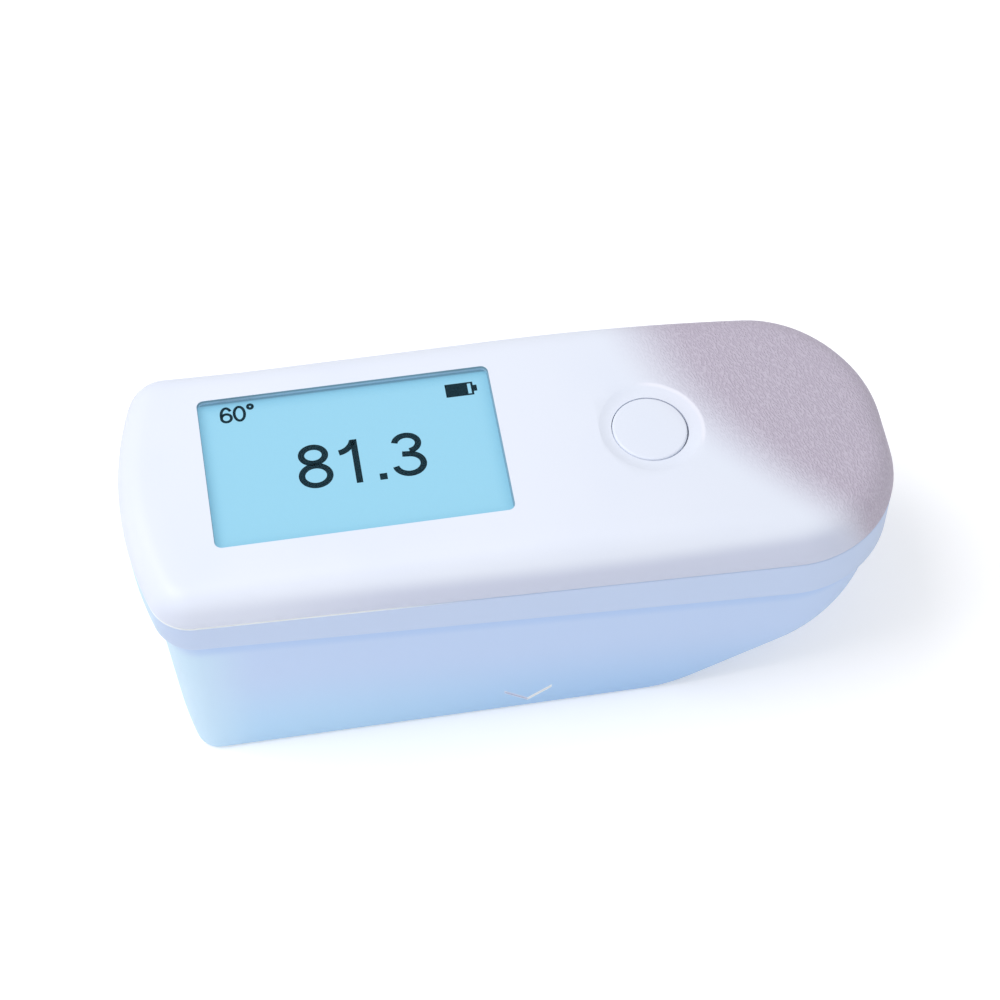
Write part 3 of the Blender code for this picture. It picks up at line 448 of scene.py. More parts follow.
@dataclass(frozen=True)
class LitPanel:
    """The lit display, with painted shade deepening it towards its edges and a painted shadow line
    along its right and far edges.
    """

    slot: str = "lit_panel"
    color: Color = srgb(160, 219, 245)
    # Painted shade deepening the panel towards its edges.
    edge: Color = srgb(146, 208, 236)
    # Painted shadow line along the right and far edges.
    line: Color = srgb(124, 168, 194)
    roughness: float = 0.3
    specular: float = 0.1
    edge_shade_width: float = 0.0038
    right: Ramp = (-0.0001, 0.00005)
    far: Ramp = (0.0, 0.0004)
    glow: float = 0.58
    dim: float = 0.6

    def material(self) -> Material:
        """The finish's material.

        Returns:
            The material.
        """
        graph = Graph(self.slot)
        low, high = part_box("display_glass")
        centre, half = (low + high) / 2, (high - low) / 2
        ways = graph.axes()[:2]
        # Painted shade towards the panel's edges.
        edges = [
            graph.step(abs(way - middle), reach - self.edge_shade_width, reach)
            for way, middle, reach in zip(ways, centre, half)
        ]
        color = graph.blend(graph.math("MAXIMUM", *edges), self.color, self.edge)
        # Painted shadow along the right and far edges, under the recess walls.
        shadows = [
            graph.step(way - middle, *(size / 2 + end for end in ends))
            for way, middle, size, ends in zip(
                ways, LAYOUT.window_centre, LAYOUT.window_size, (self.right, self.far)
            )
        ]
        color = graph.blend(graph.math("MAXIMUM", *shadows), color, self.line)
        graph.surface(
            base_color=graph.blend(self.dim, color, (0.0, 0.0, 0.0)),
            roughness=self.roughness,
            specular_ior_level=self.specular,
            emission_color=color,
            emission_strength=self.glow,
        )
        return graph.material


@dataclass(frozen=True)
class Plain:
    """A plain technical finish with a fine speckle in its colour and roughness."""

    slot: str
    color: Color
    second: Color
    roughness: float
    metallic: float = 0.0
    scale: float = 900.0
    depth: float = 0.00002
    alpha: float = 1.0
    stretch: Triple = (1.0, 1.0, 1.0)
    speckle: Ramp = (0.35, 0.65)

    def material(self) -> Material:
        """The finish's material.

        Returns:
            The material.
        """
        graph = Graph(self.slot)
        speckle = graph.noise(graph.mapped(stretch=self.stretch), self.scale, 3.0)
        graph.surface(
            base_color=graph.blend(graph.step(speckle, *self.speckle), self.color, self.second),
            roughness=self.roughness + speckle * 0.1,
            metallic=self.metallic,
            alpha=self.alpha,
        )
        graph.bump(speckle, self.depth)
        return graph.material


@dataclass(frozen=True)
class Ink:
    """The dark segments of the display."""

    slot: str = "display_ink"
    color: Color = srgb(10, 30, 38)
    second: Color = srgb(14, 36, 44)
    scale: float = 1500.0
    roughness: float = 0.5
    specular: float = 0.05

    def material(self) -> Material:
        """The finish's material.

        Returns:
            The material.
        """
        graph = Graph(self.slot)
        speckle = graph.noise(graph.mapped(), self.scale, 1.0)
        graph.surface(
            base_color=graph.blend(speckle, self.color, self.second),
            roughness=self.roughness,
            specular_ior_level=self.specular,
        )
        return graph.material


@dataclass
class Finishes:
    """Every material, by the record's slot."""

    by_slot: dict[str, Material] = field(default_factory=dict)

    def build(self) -> "Finishes":
        """Makes the materials and returns itself.

        Returns:
            These finishes.
        """
        plain = [
            Plain("clear_window", srgb(120, 180, 205), srgb(112, 172, 200), 0.04, alpha=0.02,
                  depth=0.0),
            Plain("black_foam", srgb(112, 150, 170), srgb(96, 134, 154), 0.9, scale=3000.0),
            Plain("white_diffuser", srgb(238, 240, 240), srgb(230, 233, 235), 0.4),
            Plain("green_board", srgb(18, 92, 58), srgb(12, 76, 46), 0.45, scale=500.0),
            Plain("black_block", srgb(24, 24, 26), srgb(32, 32, 34), 0.6, scale=1800.0),
            Plain("chip_case", srgb(38, 38, 40), srgb(46, 46, 48), 0.5, scale=2600.0),
            Plain("optical_glass", srgb(214, 232, 236), srgb(206, 226, 232), 0.04, alpha=0.35,
                  depth=0.0),
            Plain("plate_metal", srgb(196, 198, 202), srgb(182, 184, 188), 0.3, 1.0,
                  stretch=(0.05, 1.0, 1.0), scale=2400.0),
            Plain("screw_steel", srgb(176, 176, 178), srgb(160, 160, 162), 0.28, 1.0),
            Plain("cell_can", srgb(126, 130, 136), srgb(112, 116, 122), 0.32, 0.7),
            Plain("contact_nickel", srgb(200, 196, 184), srgb(186, 182, 170), 0.25, 1.0),
        ]
        for finish in (WhiteShell(), PaleShell(), LitPanel(), Ink(), *plain):
            self.by_slot[finish.slot] = finish.material()
        return self

    def dress_nodes(self) -> None:
        """Gives each CAD node its slot's material."""
        for subpart in frame["record"]["subparts"]:
            node = frame["nodes"][subpart["node"]]
            node.data.materials.clear()
            node.data.materials.append(self.by_slot[subpart["material_slot"]])
            LOG.info("dressed %s", node.name)


def shade(mesh: bpy.types.Mesh, sharp: float = 32.0) -> None:
    """Smooths a mesh but for its edges past an angle in degrees."""
    mesh.shade_smooth()
    mesh.set_sharp_from_angle(angle=math.radians(sharp))


def new_object(name: str, bm: Mesh) -> Object:
    """An object of this mesh, at the origin. The mesh is freed.

    Args:
        name: The object's name.
        bm: Its mesh.

    Returns:
        The object.
    """
    mesh = bpy.data.meshes.new(name)
    bm.to_mesh(mesh)
    bm.free()
    shade(mesh)
    made = bpy.data.objects.new(name, mesh)
    bpy.context.scene.collection.objects.link(made)
    return made


def combine(target: Object, other: Object, change: Change) -> None:
    """Applies one Boolean to target and removes the other object.

    Args:
        target: The object that is changed.
        other: The object that is used up.
        change: What is done.
    """
    step = target.modifiers.new("step", "BOOLEAN")
    step.operation = change.value
    step.object = other
    step.solver = "MANIFOLD"
    graph = bpy.context.evaluated_depsgraph_get()
    mesh = bpy.data.meshes.new_from_object(target.evaluated_get(graph))
    target.modifiers.clear()
    old = target.data
    target.data = mesh
    bpy.data.meshes.remove(old)
    bpy.data.objects.remove(other)


def cut(target: Object, *others: Object) -> None:
    """Takes the others out of target."""
    for other in others:
        combine(target, other, Change.CUT)


def join(target: Object, *others: Object) -> None:
    """Adds the others to target."""
    for other in others:
        combine(target, other, Change.ADD)


def round_edges(bm: Mesh, axis: int, radius: float, steps: int) -> None:
    """Bevels the edges of a box that run along one axis.

    Args:
        bm: The box.
        axis: The axis, from 0 to 2.
        radius: The bevel's width.
        steps: Its segments.
    """
    along = [e for e in bm.edges if abs(e.verts[0].co[axis] - e.verts[1].co[axis]) > 1e-6]
    bmesh.ops.bevel(
        bm, geom=along, offset=radius, segments=steps, profile=0.5, affect="EDGES", material=-1
    )


def ellipse(centre: Point, radii: Point, start: float, end: float, steps: int) -> list[Point]:
    """Points of an ellipse's arc."""
    turns = [start + (end - start) * i / steps for i in range(steps + 1)]
    return [(centre[0] + radii[0] * math.cos(t), centre[1] + radii[1] * math.sin(t)) for t in turns]


def block(
    centre: Point, size: Point, low: float, high: float, corner: float = 0.0, flare: float = 0.0
) -> Object:
    """A box with rounded upright edges, its top face wider by the flare on each side.

    Args:
        centre: Its middle in plan.
        size: Its length and width.
        low: Its lowest height.
        high: Its highest height.
        corner: The radius of its upright edges.
        flare: How far each side of the top stands out.

    Returns:
        The object.
    """
    bm = bmesh.new()
    bmesh.ops.create_cube(bm, size=1.0)
    bmesh.ops.scale(bm, vec=(*size, high - low), verts=bm.verts)
    if corner:
        round_edges(bm, 2, corner, 10)
    if flare:
        top = [v for v in bm.verts if v.co.z > 0]
        grow = Vector((1 + 2 * flare / size[0], 1 + 2 * flare / size[1], 1.0))
        bmesh.ops.scale(bm, vec=grow, verts=top)
    bmesh.ops.translate(bm, vec=(*centre, (low + high) / 2), verts=bm.verts)
    return new_object("block", bm)


def cylinder(start: Sequence[float], end: Sequence[float], radius: float) -> Object:
    """A cylinder between two points.

    Args:
        start: The middle of one end.
        end: The middle of the other end.
        radius: Its radius.

    Returns:
        The object.
    """
    first, last = Vector(start), Vector(end)
    bm = bmesh.new()
    bmesh.ops.create_cone(
        bm, cap_ends=True, segments=64, radius1=radius, radius2=radius, depth=(last - first).length
    )
    turn = (last - first).to_track_quat("Z", "Y").to_matrix().to_4x4()
    bmesh.ops.transform(bm, matrix=Matrix.Translation((first + last) / 2) @ turn, verts=bm.verts)
    return new_object("cylinder", bm)


def post(spot: Point, low: float, high: float, radius: float) -> Object:
    """An upright cylinder."""
    return cylinder((*spot, low), (*spot, high), radius)


def spun(name: str, profile: Sequence[Point], sides: int = 128) -> Object:
    """A profile of (radius, height), from axis to axis, turned about the Z axis.

    Args:
        name: The object's name.
        profile: The profile's points.
        sides: The steps of the turn.

    Returns:
        The object.
    """
    bm = bmesh.new()
    verts = [bm.verts.new((radius, 0.0, height)) for radius, height in profile]
    edges = [bm.edges.new(pair) for pair in zip(verts, verts[1:])]
    bmesh.ops.spin(
        bm,
        geom=[*verts, *edges],
        cent=(0, 0, 0),
        axis=(0, 0, 1),
        angle=math.tau,
        steps=sides,
        use_merge=True,
    )
    bmesh.ops.remove_doubles(bm, verts=bm.verts, dist=1e-7)
    bmesh.ops.recalc_face_normals(bm, faces=bm.faces)
    return new_object(name, bm)


def dress(piece: Object, material: Material, body: str) -> Object:
    """Gives a finished piece its material and its body.

    Args:
        piece: The piece.
        material: Its material.
        body: Its body's name.

    Returns:
        The piece.
    """
    piece.data.materials.clear()
    piece.data.materials.append(material)
    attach(piece, body)
    LOG.info("made %s with %d faces", piece.name, len(piece.data.polygons))
    return piece


@dataclass
class Housing:
    """The form of the two shells: their plan outline, heights and insets."""

    length: float = 0.15
    width: float = 0.056
    height: float = 0.058
    front_corner: float = 0.008
    palm_corner: float = 0.024
    front_turn: float = math.radians(72)
    front_rake: float = 0.0028
    rake_reach: float = 0.035
    top_edge: float = 0.0068
    rake_top: float = 0.0515
    edge_room: float = 0.0006
    palm_start: float = 0.0
    palm_drop: float = 0.0077
    arc_steps: int = 20
    side_steps: int = 44
    end_steps: int = 8
    edge_steps: int = 12
    closing: tuple[float, ...] = (0.15, 0.3, 0.45, 0.6, 0.8, 1.0)
    parting_middle: float = 0.0478
    parting_fall: float = 0.0575
    rim_middle: float = 0.0381
    rim_fall: float = 0.08
    tail_start: float = 0.024
    tail_bend: float = 0.01
    tail_slope: float = 0.59
    lean_in: Point = (0.26, 0.33)
    lean_down: float = 0.4

    def __post_init__(self) -> None:
        """Works the outline out once."""
        self.stations = self.outline()

    def outline(self) -> list[tuple[Point, Point]]:
        """Points of the plan outline with their outward normals.

        Returns:
            A point and its normal for each station.
        """
        half, quarter = self.width / 2, math.pi / 2
        turn, corner = self.front_turn, self.front_corner
        palm = self.length / 2 - self.palm_corner
        bow = (half - corner * (1 - math.cos(turn))) / math.cos(turn)
        bow_centre = bow - self.length / 2
        front = bow_centre - (bow - corner) * math.sin(turn)
        found = [((self.length / 2, 0.0), (1.0, 0.0))]

        found += self.arc(
            (palm, half - self.palm_corner), self.palm_corner, 0.0, quarter, self.arc_steps
        )
        for i in range(1, self.side_steps):
            found.append(((palm + (front - palm) * i / self.side_steps, half), (0.0, 1.0)))
        found += self.arc((front, half - corner), corner, quarter, quarter + turn, self.arc_steps)
        found.pop()
        found += self.arc((bow_centre, 0.0), bow, quarter + turn, math.pi, self.end_steps)
        mirrored = [((x, -y), (nx, -ny)) for (x, y), (nx, ny) in found[1:-1]]
        return found + mirrored[::-1]

    def arc(self, middle: Point, radius: float, *turn: float) -> list[tuple[Point, Point]]:
        """Points of an arc with their outward normals."""
        points = ellipse(middle, (radius, radius), *turn)
        return list(zip(points, ellipse((0.0, 0.0), (1.0, 1.0), *turn)))

    def top(self, x: float) -> float:
        """The roof's height at x."""
        share = max(0.0, (x - self.palm_start) / (self.length / 2 - self.palm_start))
        return self.height - self.palm_drop * share**2

    def tilt(self, x: float) -> Matrix:
        """The turn and the place of the roof's tangent plane at x, over the middle.

        Args:
            x: Where it touches the roof.

        Returns:
            The plane's matrix.
        """
        reach = self.length / 2 - self.palm_start
        slope = 2 * self.palm_drop * max(0.0, x - self.palm_start) / reach**2
        turn = Matrix.Rotation(math.atan(slope), 4, "Y")
        return Matrix.Translation((x, 0, self.top(x))) @ turn

    def edge(self, x: float) -> float:
        """The radius of the roof's edge at x, less where the parting line is close."""
        return min(self.top_edge, self.top(x) - self.parting(x) - self.edge_room)

    def parting(self, x: float) -> float:
        """The height of the parting line at x."""
        return self.parting_middle - self.parting_fall * x

    def rim(self, x: float) -> float:
        """The height of the rim's lower edge at x."""
        return self.rim_middle - self.rim_fall * x

    def bottom(self, x: float) -> float:
        """The height of the underside at x: flat, then a bend and the slope of the tail.

        Args:
            x: The place along the length.

        Returns:
            The height.
        """
        run, bend, slope = x - self.tail_start, self.tail_bend, self.tail_slope
        if run <= 0:
            return 0.0
        if run < bend:
            return slope * run**2 / (2 * bend)
        return slope * (run - bend / 2)

    def raked(self, x: float, y: float, z: float) -> Vector:
        """The point, moved back where the front wall leans in towards the base.

        Args:
            x: Along the length.
            y: Across.
            z: The height.

        Returns:
            The moved point.
        """
        reach = max(0.0, -x - (self.length / 2 - self.rake_reach)) / self.rake_reach
        lean = max(0.0, 1 - z / self.rake_top)
        return Vector((x + self.front_rake * reach * lean, y, z))

    def ring(self, inset: Curve, height: Callable[[float, float], float]) -> list[Vector]:
        """One ring of points.

        Args:
            inset: How far in from the outline, at a station's x.
            height: The height, from the point's x and the station's x.

        Returns:
            The points.
        """
        return [self.raked(px, py, height(px, x)) for px, py, x in self.moved_in(inset)]

    def moved_in(self, inset: Curve) -> list[Triple]:
        """The outline's points moved in by an inset, each with its station's x.

        Args:
            inset: How far in, at a station's x.

        Returns:
            The points.
        """
        return [
            (x - nx * inset(x), y - ny * inset(x), x) for (x, y), (nx, ny) in self.stations
        ]

    def close(self, inset: Curve, height: Curve) -> Rings:
        """Rings from an inset in to the spine.

        Args:
            inset: The first ring's inset at x.
            height: The height at x.

        Returns:
            The rings.
        """
        limit = self.length / 2 - self.width / 2
        rings = []
        for share in self.closing:
            points = []
            for px, py, _ in self.moved_in(inset):
                qx = px + (max(-limit, min(limit, px)) - px) * share
                points.append(self.raked(qx, py * (1 - share), height(qx)))
            rings.append(points)
        return rings

    def section(self, share: float, lean: float) -> Point:
        """How far in and how far down an edge's section is, as shares of its radius.

        Args:
            share: How far along the edge, from its wall's start.
            lean: How far the wall leans in.

        Returns:
            The two shares.
        """
        turn = math.pi / 2 * share
        side, rise = 1 - math.cos(turn), 1 - math.sin(turn)
        rest, (first, second) = 1 - share, self.lean_in
        slanted = 3 * rest * share**2 * second + 3 * rest**2 * share * first + share**3
        fallen = rest**3 + 3 * rest**2 * share * self.lean_down
        return side + (slanted - side) * lean, rise + (fallen - rise) * lean

    def bend(
        self,
        shares: Sequence[float],
        inset: Callable[[float, float, float], float],
        height: Callable[[float, float, float, float], float],
        lean: float = 0.0,
    ) -> Rings:
        """Rings round an edge.

        Args:
            shares: How far along the edge's quarter turn each ring is.
            inset: The inset, from the section's shares in and down and a station's x.
            height: The height, from the same shares, the point's x and the station's x.
            lean: 0 for a round edge, up to 1 for a wall that leans into a tighter edge.

        Returns:
            The rings.
        """
        turns = (self.section(share, lean) for share in shares)
        return [self.ring(partial(inset, *turn), partial(height, *turn)) for turn in turns]

    def round(
        self, inset: Curve, edge: Curve, height: Curve, face: Face, lean: float = 0.0
    ) -> Rings:
        """Rings of a rounded edge, from the wall to the flat, and on to the spine.

        Args:
            inset: The wall's inset at x.
            edge: The edge's radius at x.
            height: The flat's height at x.
            face: Whether the flat is a roof or a base.
            lean: How far the wall leans into the edge.

        Returns:
            The rings.
        """
        rings = self.bend(
            [i / self.edge_steps for i in range(self.edge_steps + 1)],
            lambda side, rise, x: inset(x) + edge(x) * side,
            lambda side, rise, px, x: height(px) - face.value * edge(x) * rise,
            lean,
        )
        return rings + self.close(lambda x: inset(x) + edge(x), height)

    def loft(self, name: str, rings: Rings) -> Object:
        """A closed surface: a grid laid along the rings and welded at its seam and ends.

        Args:
            name: The object's name.
            rings: The rings, in order.

        Returns:
            The object.
        """
        count, last = len(self.stations), len(rings) - 1
        bm = bmesh.new()
        bmesh.ops.create_grid(bm, x_segments=count, y_segments=last, size=1.0)
        for vert in bm.verts:
            column = round((vert.co.x + 1) / 2 * count) % count
            row = round((vert.co.y + 1) / 2 * last)
            vert.co = rings[row][column]
        bmesh.ops.remove_doubles(bm, verts=bm.verts, dist=1e-6)
        bmesh.ops.dissolve_degenerate(bm, edges=bm.edges, dist=1e-6)
        bmesh.ops.recalc_face_normals(bm, faces=bm.faces)
        return new_object(name, bm)


@dataclass
class UpperShell:
    """The white cover with the display recess, the button's dish and the palm end."""

    form: Housing
    wall: float = 0.002
    fill: float = 0.0013
    lean: float = 0.6
    seam: float = 0.00003
    edge_break: float = 0.00025
    break_share: float = 0.3
    window_corner: float = 0.0014
    bezel_flare: float = 0.00024
    bezel_depth: float = 0.0005
    rebate_margin: float = 0.0015
    button_radius: float = 0.00748
    button_reach: float = 0.004
    dish_radius: float = 0.0103
    dish_margin: float = 0.0002
    dish_rise: float = 0.00002
    dish_depth: float = 0.0007
    dish_steps: int = 14
    board_bosses: tuple[Point, ...] = ((-0.063, 0.009), (0.006, 0.0185))
    board_gap: float = 0.0003
    boss_radius: float = 0.0022
    bore_reach: float = 0.004
    bore_top: float = 0.0523
    bore_radius: float = 0.0011
    case_foot: float = 0.0363
    case_radius: float = 0.0029
    case_bore: Triple = (0.03, 0.0433, 0.00145)
    hook_width: float = 0.012
    hook_arm: Point = (-0.0697, 0.0012)
    hook_nose: Point = (-0.0707, 0.002)
    hook_low: float = 0.0466125
    hook_top: float = 0.0481125

    def build(self, finishes: Finishes) -> Object:
        """Builds and dresses the shell.

        Args:
            finishes: The materials.

        Returns:
            The shell.
        """
        form, brk = self.form, self.edge_break
        small = brk * self.break_share
        outside = form.round(lambda x: 0.0, form.edge, form.top, Face.ROOF, self.lean)
        foot = [
            form.ring(lambda x, i=inset: i, lambda px, x, u=up: form.parting(x) + self.seam + u)
            for inset, up in ((0.0, brk), (small, small), (brk, 0.0), (self.wall, 0.0))
        ]
        inside = form.round(
            lambda x: self.wall,
            lambda x: form.edge(x) - self.wall - self.fill,
            lambda x: form.top(x) - self.wall,
            Face.ROOF,
        )
        shell = form.loft("upper_shell_moulding", outside[::-1] + foot + inside)
        self.add_bosses(shell)
        self.cut_openings(shell)
        shade(shell.data, 28.0)
        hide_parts("upper_shell")
        return dress(shell, finishes.by_slot["white_shell"], "housing")

    def add_bosses(self, shell: Object) -> None:
        """Adds the screw bosses with their bores, and the front hook.

        Args:
            shell: The shell.
        """
        roof = self.form.height - self.wall
        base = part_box("main_board")[1].z + self.board_gap
        for side in (-1, 1):
            for x, y in self.board_bosses:
                spot = (x, side * y)
                join(shell, post(spot, base, roof + CLEAR, self.boss_radius))
                cut(shell, post(spot, base - self.bore_reach, self.bore_top, self.bore_radius))
            spot = (LAYOUT.pillar[0], side * LAYOUT.pillar[1])
            ceiling = self.form.top(spot[0]) - self.wall / 2
            join(shell, post(spot, self.case_foot, ceiling, self.case_radius))
            cut(shell, post(spot, *self.case_bore))
        for (x, length), top in (
            (self.hook_arm, roof + self.wall / 4),
            (self.hook_nose, self.hook_top),
        ):
            join(shell, block((x, 0), (length, self.hook_width), self.hook_low, top))

    def cut_openings(self, shell: Object) -> None:
        """Cuts the window with its rebate and bezel, the dish and the button's hole.

        Args:
            shell: The shell.
        """
        top, roof = self.form.height, self.form.height - self.wall
        place, size, corner = LAYOUT.window_centre, LAYOUT.window_size, self.window_corner
        wide = (size[0] + 2 * self.rebate_margin, size[1] + 2 * self.rebate_margin)
        low = top - self.bezel_depth
        cut(
            shell,
            block(place, size, roof - CLEAR, top + CLEAR, corner),
            block(place, wide, roof - CLEAR, top - self.wall / 2, corner),
            block(place, size, low, low + 2 * self.bezel_depth, corner, self.bezel_flare),
            self.dish(),
            post((LAYOUT.button, 0.0), roof - self.button_reach, top + CLEAR, self.button_radius),
        )

    def dish(self) -> Object:
        """The cutter of the shallow dish round the button, a soft S in section.

        Returns:
            The cutter.
        """
        outer, depth = self.dish_radius, self.dish_depth
        profile = [(0.0, CLEAR), (outer + self.dish_margin, CLEAR)]
        for i in range(self.dish_steps + 1):
            share = i / self.dish_steps
            radius = outer + (self.button_radius - outer) * share
            profile.append((radius, self.dish_rise - depth * math.sin(share * math.pi / 2)))
        profile += [(self.button_radius - CLEAR, -depth), (0.0, -depth)]
        cutter = spun("dish", profile)
        cutter.data.transform(self.form.tilt(LAYOUT.button))
        return cutter


@dataclass
class LowerShell:
    """The pale housing with its stepped rim, battery bay, pillars and V mark.

    Posts and bores are given as low end, high end and radius.
    """

    form: Housing
    wall: float = 0.0019
    floor: float = 0.0025
    seam: float = 0.00003
    lip_inset: float = 0.0023
    lip_wall: float = 0.001
    lip_height: float = 0.0012
    step_in: float = 0.0022
    base_inset: float = 0.003
    base_edge: float = 0.0015
    top_round: float = 0.0005
    rim_round: float = 0.0013
    fillet: float = 0.001
    bay_gap: float = 0.0003
    bay_wall: float = 0.0012
    bay_width: float = 0.0481
    bay_corner: float = 0.004
    cell_room: float = 0.0016
    door_corner: float = 0.0015
    pin_length: float = 0.0007
    pin_radius: float = 0.0009
    pillar_top: float = 0.036
    pillar_radius: float = 0.0029
    head_bore: Triple = (-CLEAR, 0.031, 0.0023)
    shank_bore: Triple = (0.03, 0.037, 0.00145)
    pocket_x: float = -0.07115
    pocket_size: Point = (0.0023, 0.0126)
    pocket_ends: Ramp = (0.0463125, 0.0484125)
    plate_size: Point = (0.0306, 0.0226)
    plate_corner: float = 0.00195
    plate_screw: Point = (0.0176, 0.0137)
    plate_bore_foot: float = 0.0007
    plate_bore_radius: float = 0.0011
    mark_height: float = 0.0034
    mark_arm: float = 0.0062
    mark_half: float = 0.00027
    mark_depth: float = 0.00016
    mark_room: float = 0.0002
    mark_angle: float = math.radians(50)

    def inset(self, x: float) -> float:
        """The lower body's inset at the base, at x."""
        rim, z = self.form.rim(x), self.form.bottom(x - self.base_inset)
        return self.step_in + (self.base_inset - self.step_in) * (rim - z) / rim

    def build(self, finishes: Finishes) -> Object:
        """Builds and dresses the shell.

        Args:
            finishes: The materials.

        Returns:
            The shell.
        """
        form, seam, top = self.form, self.seam, self.top_round
        edge, fillet = self.rim_round, self.fillet
        lip, thin, inner = self.lip_inset, self.lip_inset + self.lip_wall, self.step_in + self.wall
        outside = [
            form.ring(lambda x: lip, lambda px, x: form.parting(x) - seam),
            *form.bend(
                [1 - i / 4 for i in range(5)],
                lambda side, rise, x: top * side,
                lambda side, rise, px, x: form.parting(x) - seam - top * rise,
            ),
            *form.bend(
                [i / 6 for i in range(7)],
                lambda side, rise, x: edge * side,
                lambda side, rise, px, x: form.rim(x) + edge * rise,
            ),
            *form.bend(
                [i / 5 for i in range(1, 6)],
                lambda side, rise, x: self.step_in - fillet * rise,
                lambda side, rise, px, x: form.rim(x) - fillet * side,
            ),
            *form.round(self.inset, lambda x: self.base_edge, form.bottom, Face.BASE),
        ]
        inside = [
            form.ring(lambda x: lip, lambda px, x: form.parting(x) + self.lip_height),
            form.ring(lambda x: thin, lambda px, x: form.parting(x) + self.lip_height),
            form.ring(lambda x: thin, lambda px, x: form.parting(x)),
            form.ring(lambda x: inner, lambda px, x: form.rim(x)),
            *form.round(
                lambda x: self.inset(x) + self.wall,
                lambda x: self.base_edge,
                lambda x: form.bottom(x) + self.floor,
                Face.BASE,
            ),
        ]
        shell = form.loft("lower_shell_moulding", outside[::-1] + inside)
        self.fit_out(shell)
        self.mark(shell)
        shade(shell.data, 28.0)
        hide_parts("lower_shell")
        return dress(shell, finishes.by_slot["pale_blue_shell"], "housing")

    def fit_out(self, shell: Object) -> None:
        """Adds the bay and pillars and cuts the openings in the floor.

        Args:
            shell: The shell.
        """
        door_low, door_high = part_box("battery_door")
        cells_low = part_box("battery_cell_outer")[0]
        cells_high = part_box("battery_cell_inner")[1]
        gap, wall, over = self.bay_gap, self.bay_wall, self.floor + CLEAR
        x = (cells_low.x + cells_high.x) / 2
        length = cells_high.x - cells_low.x + 2 * gap
        roof = cells_high.z + gap
        deep = cells_high.y - cells_low.y + self.cell_room
        width = door_high.y - door_low.y - 2 * self.pin_length + 2 * gap
        pillars = [(LAYOUT.pillar[0], side * LAYOUT.pillar[1]) for side in (-1, 1)]
        bay = (length + 2 * wall, self.bay_width)
        join(shell, block((x, 0), bay, self.floor / 2, roof + wall, self.bay_corner))
        for foot in pillars:
            join(shell, post(foot, self.floor / 2, self.pillar_top, self.pillar_radius))
        thick = door_high.z - door_low.z
        hinge_x, hinge_z = door_high.x - thick / 2, door_low.z + thick / 2

        def axle(reach: float, radius: float) -> Object:
            """A cylinder on the hinge's axis."""
            return cylinder((hinge_x, -reach, hinge_z), (hinge_x, reach, hinge_z), radius)

        cut(
            shell,
            block((x, 0), (length, width), -CLEAR, roof, self.door_corner),
            block((x, 0), (length, deep), over, roof),
            axle(width / 2, thick / 2 + gap),
            block((hinge_x + gap / 2, 0), (thick + gap, width), -CLEAR, hinge_z),
            axle(width / 2 + self.pin_length + gap, self.pin_radius),
            block((self.pocket_x, 0), self.pocket_size, *self.pocket_ends),
            block((0, 0), self.plate_size, -CLEAR, over, self.plate_corner),
        )
        screw, low, radius = self.plate_screw, self.plate_bore_foot, self.plate_bore_radius
        for side, foot in zip((-1, 1), pillars):
            cut(shell, post(foot, *self.head_bore), post(foot, *self.shank_bore))
            for end in (-1, 1):
                cut(shell, post((end * screw[0], side * screw[1]), low, over, radius))

    def mark(self, shell: Object) -> None:
        """Engraves the V over the middle of the aperture in the near wall.

        Args:
            shell: The shell.
        """
        place = (0, self.base_inset - self.form.width / 2 - self.mark_room, self.mark_height)
        size = (2 * self.mark_half, 2 * (self.mark_depth + self.mark_room), self.mark_arm)
        for side in (-1, 1):
            bm = bmesh.new()
            bmesh.ops.create_cube(bm, size=1.0)
            bmesh.ops.scale(bm, vec=size, verts=bm.verts)
            round_edges(bm, 1, self.mark_half * 0.9, 5)
            bmesh.ops.translate(bm, vec=(0, 0, self.mark_arm / 2 - self.mark_half), verts=bm.verts)
            lean = Matrix.Rotation(side * self.mark_angle, 4, "Y")
            bmesh.ops.transform(bm, matrix=Matrix.Translation(place) @ lean, verts=bm.verts)
            cut(shell, new_object("mark", bm))


@dataclass
class Button:
    """The round cap in the dish, its edge rounded over."""

    form: Housing
    sunk: float = 0.0003
    edge: float = 0.0005
    crown: float = 0.00012
    flange: float = 0.0012
    flange_top: float = -0.0023
    flange_foot: float = -0.0033
    stem: float = 0.002
    crown_steps: int = 6
    edge_steps: int = 8

    def build(self, finishes: Finishes) -> Object:
        """Builds and dresses the cap.

        Args:
            finishes: The materials.

        Returns:
            The cap.
        """
        low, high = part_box("measure_button")
        top, foot = -self.sunk, low.z - self.form.top(LAYOUT.button)
        wide = (high.x - low.x) / 2
        radius, edge = wide - self.flange, self.edge
        profile = [(0.0, top)]
        for i in range(1, self.crown_steps):
            share = i / self.crown_steps
            profile.append(((radius - edge) * share, top - self.crown * share**2))
        for i in range(self.edge_steps + 1):
            side, rise = self.form.section(1 - i / self.edge_steps, 0.0)
            profile.append((radius - edge * side, top - self.crown - edge * rise))
        profile += [
            (radius, self.flange_top),
            (wide, self.flange_top),
            (wide, self.flange_foot),
            (self.stem, self.flange_foot),
            (self.stem, foot),
            (0.0, foot),
        ]
        cap = spun("button_cap", profile)
        cap.data.transform(self.form.tilt(LAYOUT.button))
        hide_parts("measure_button")
        return dress(cap, finishes.by_slot["white_shell"], "button")


@dataclass(frozen=True)
class Row:
    """A row of signs: the first one's place, each one's distance from it, and the sizes."""

    name: str
    text: str
    start: Point
    steps: tuple[float, ...]
    height: float
    stroke: float


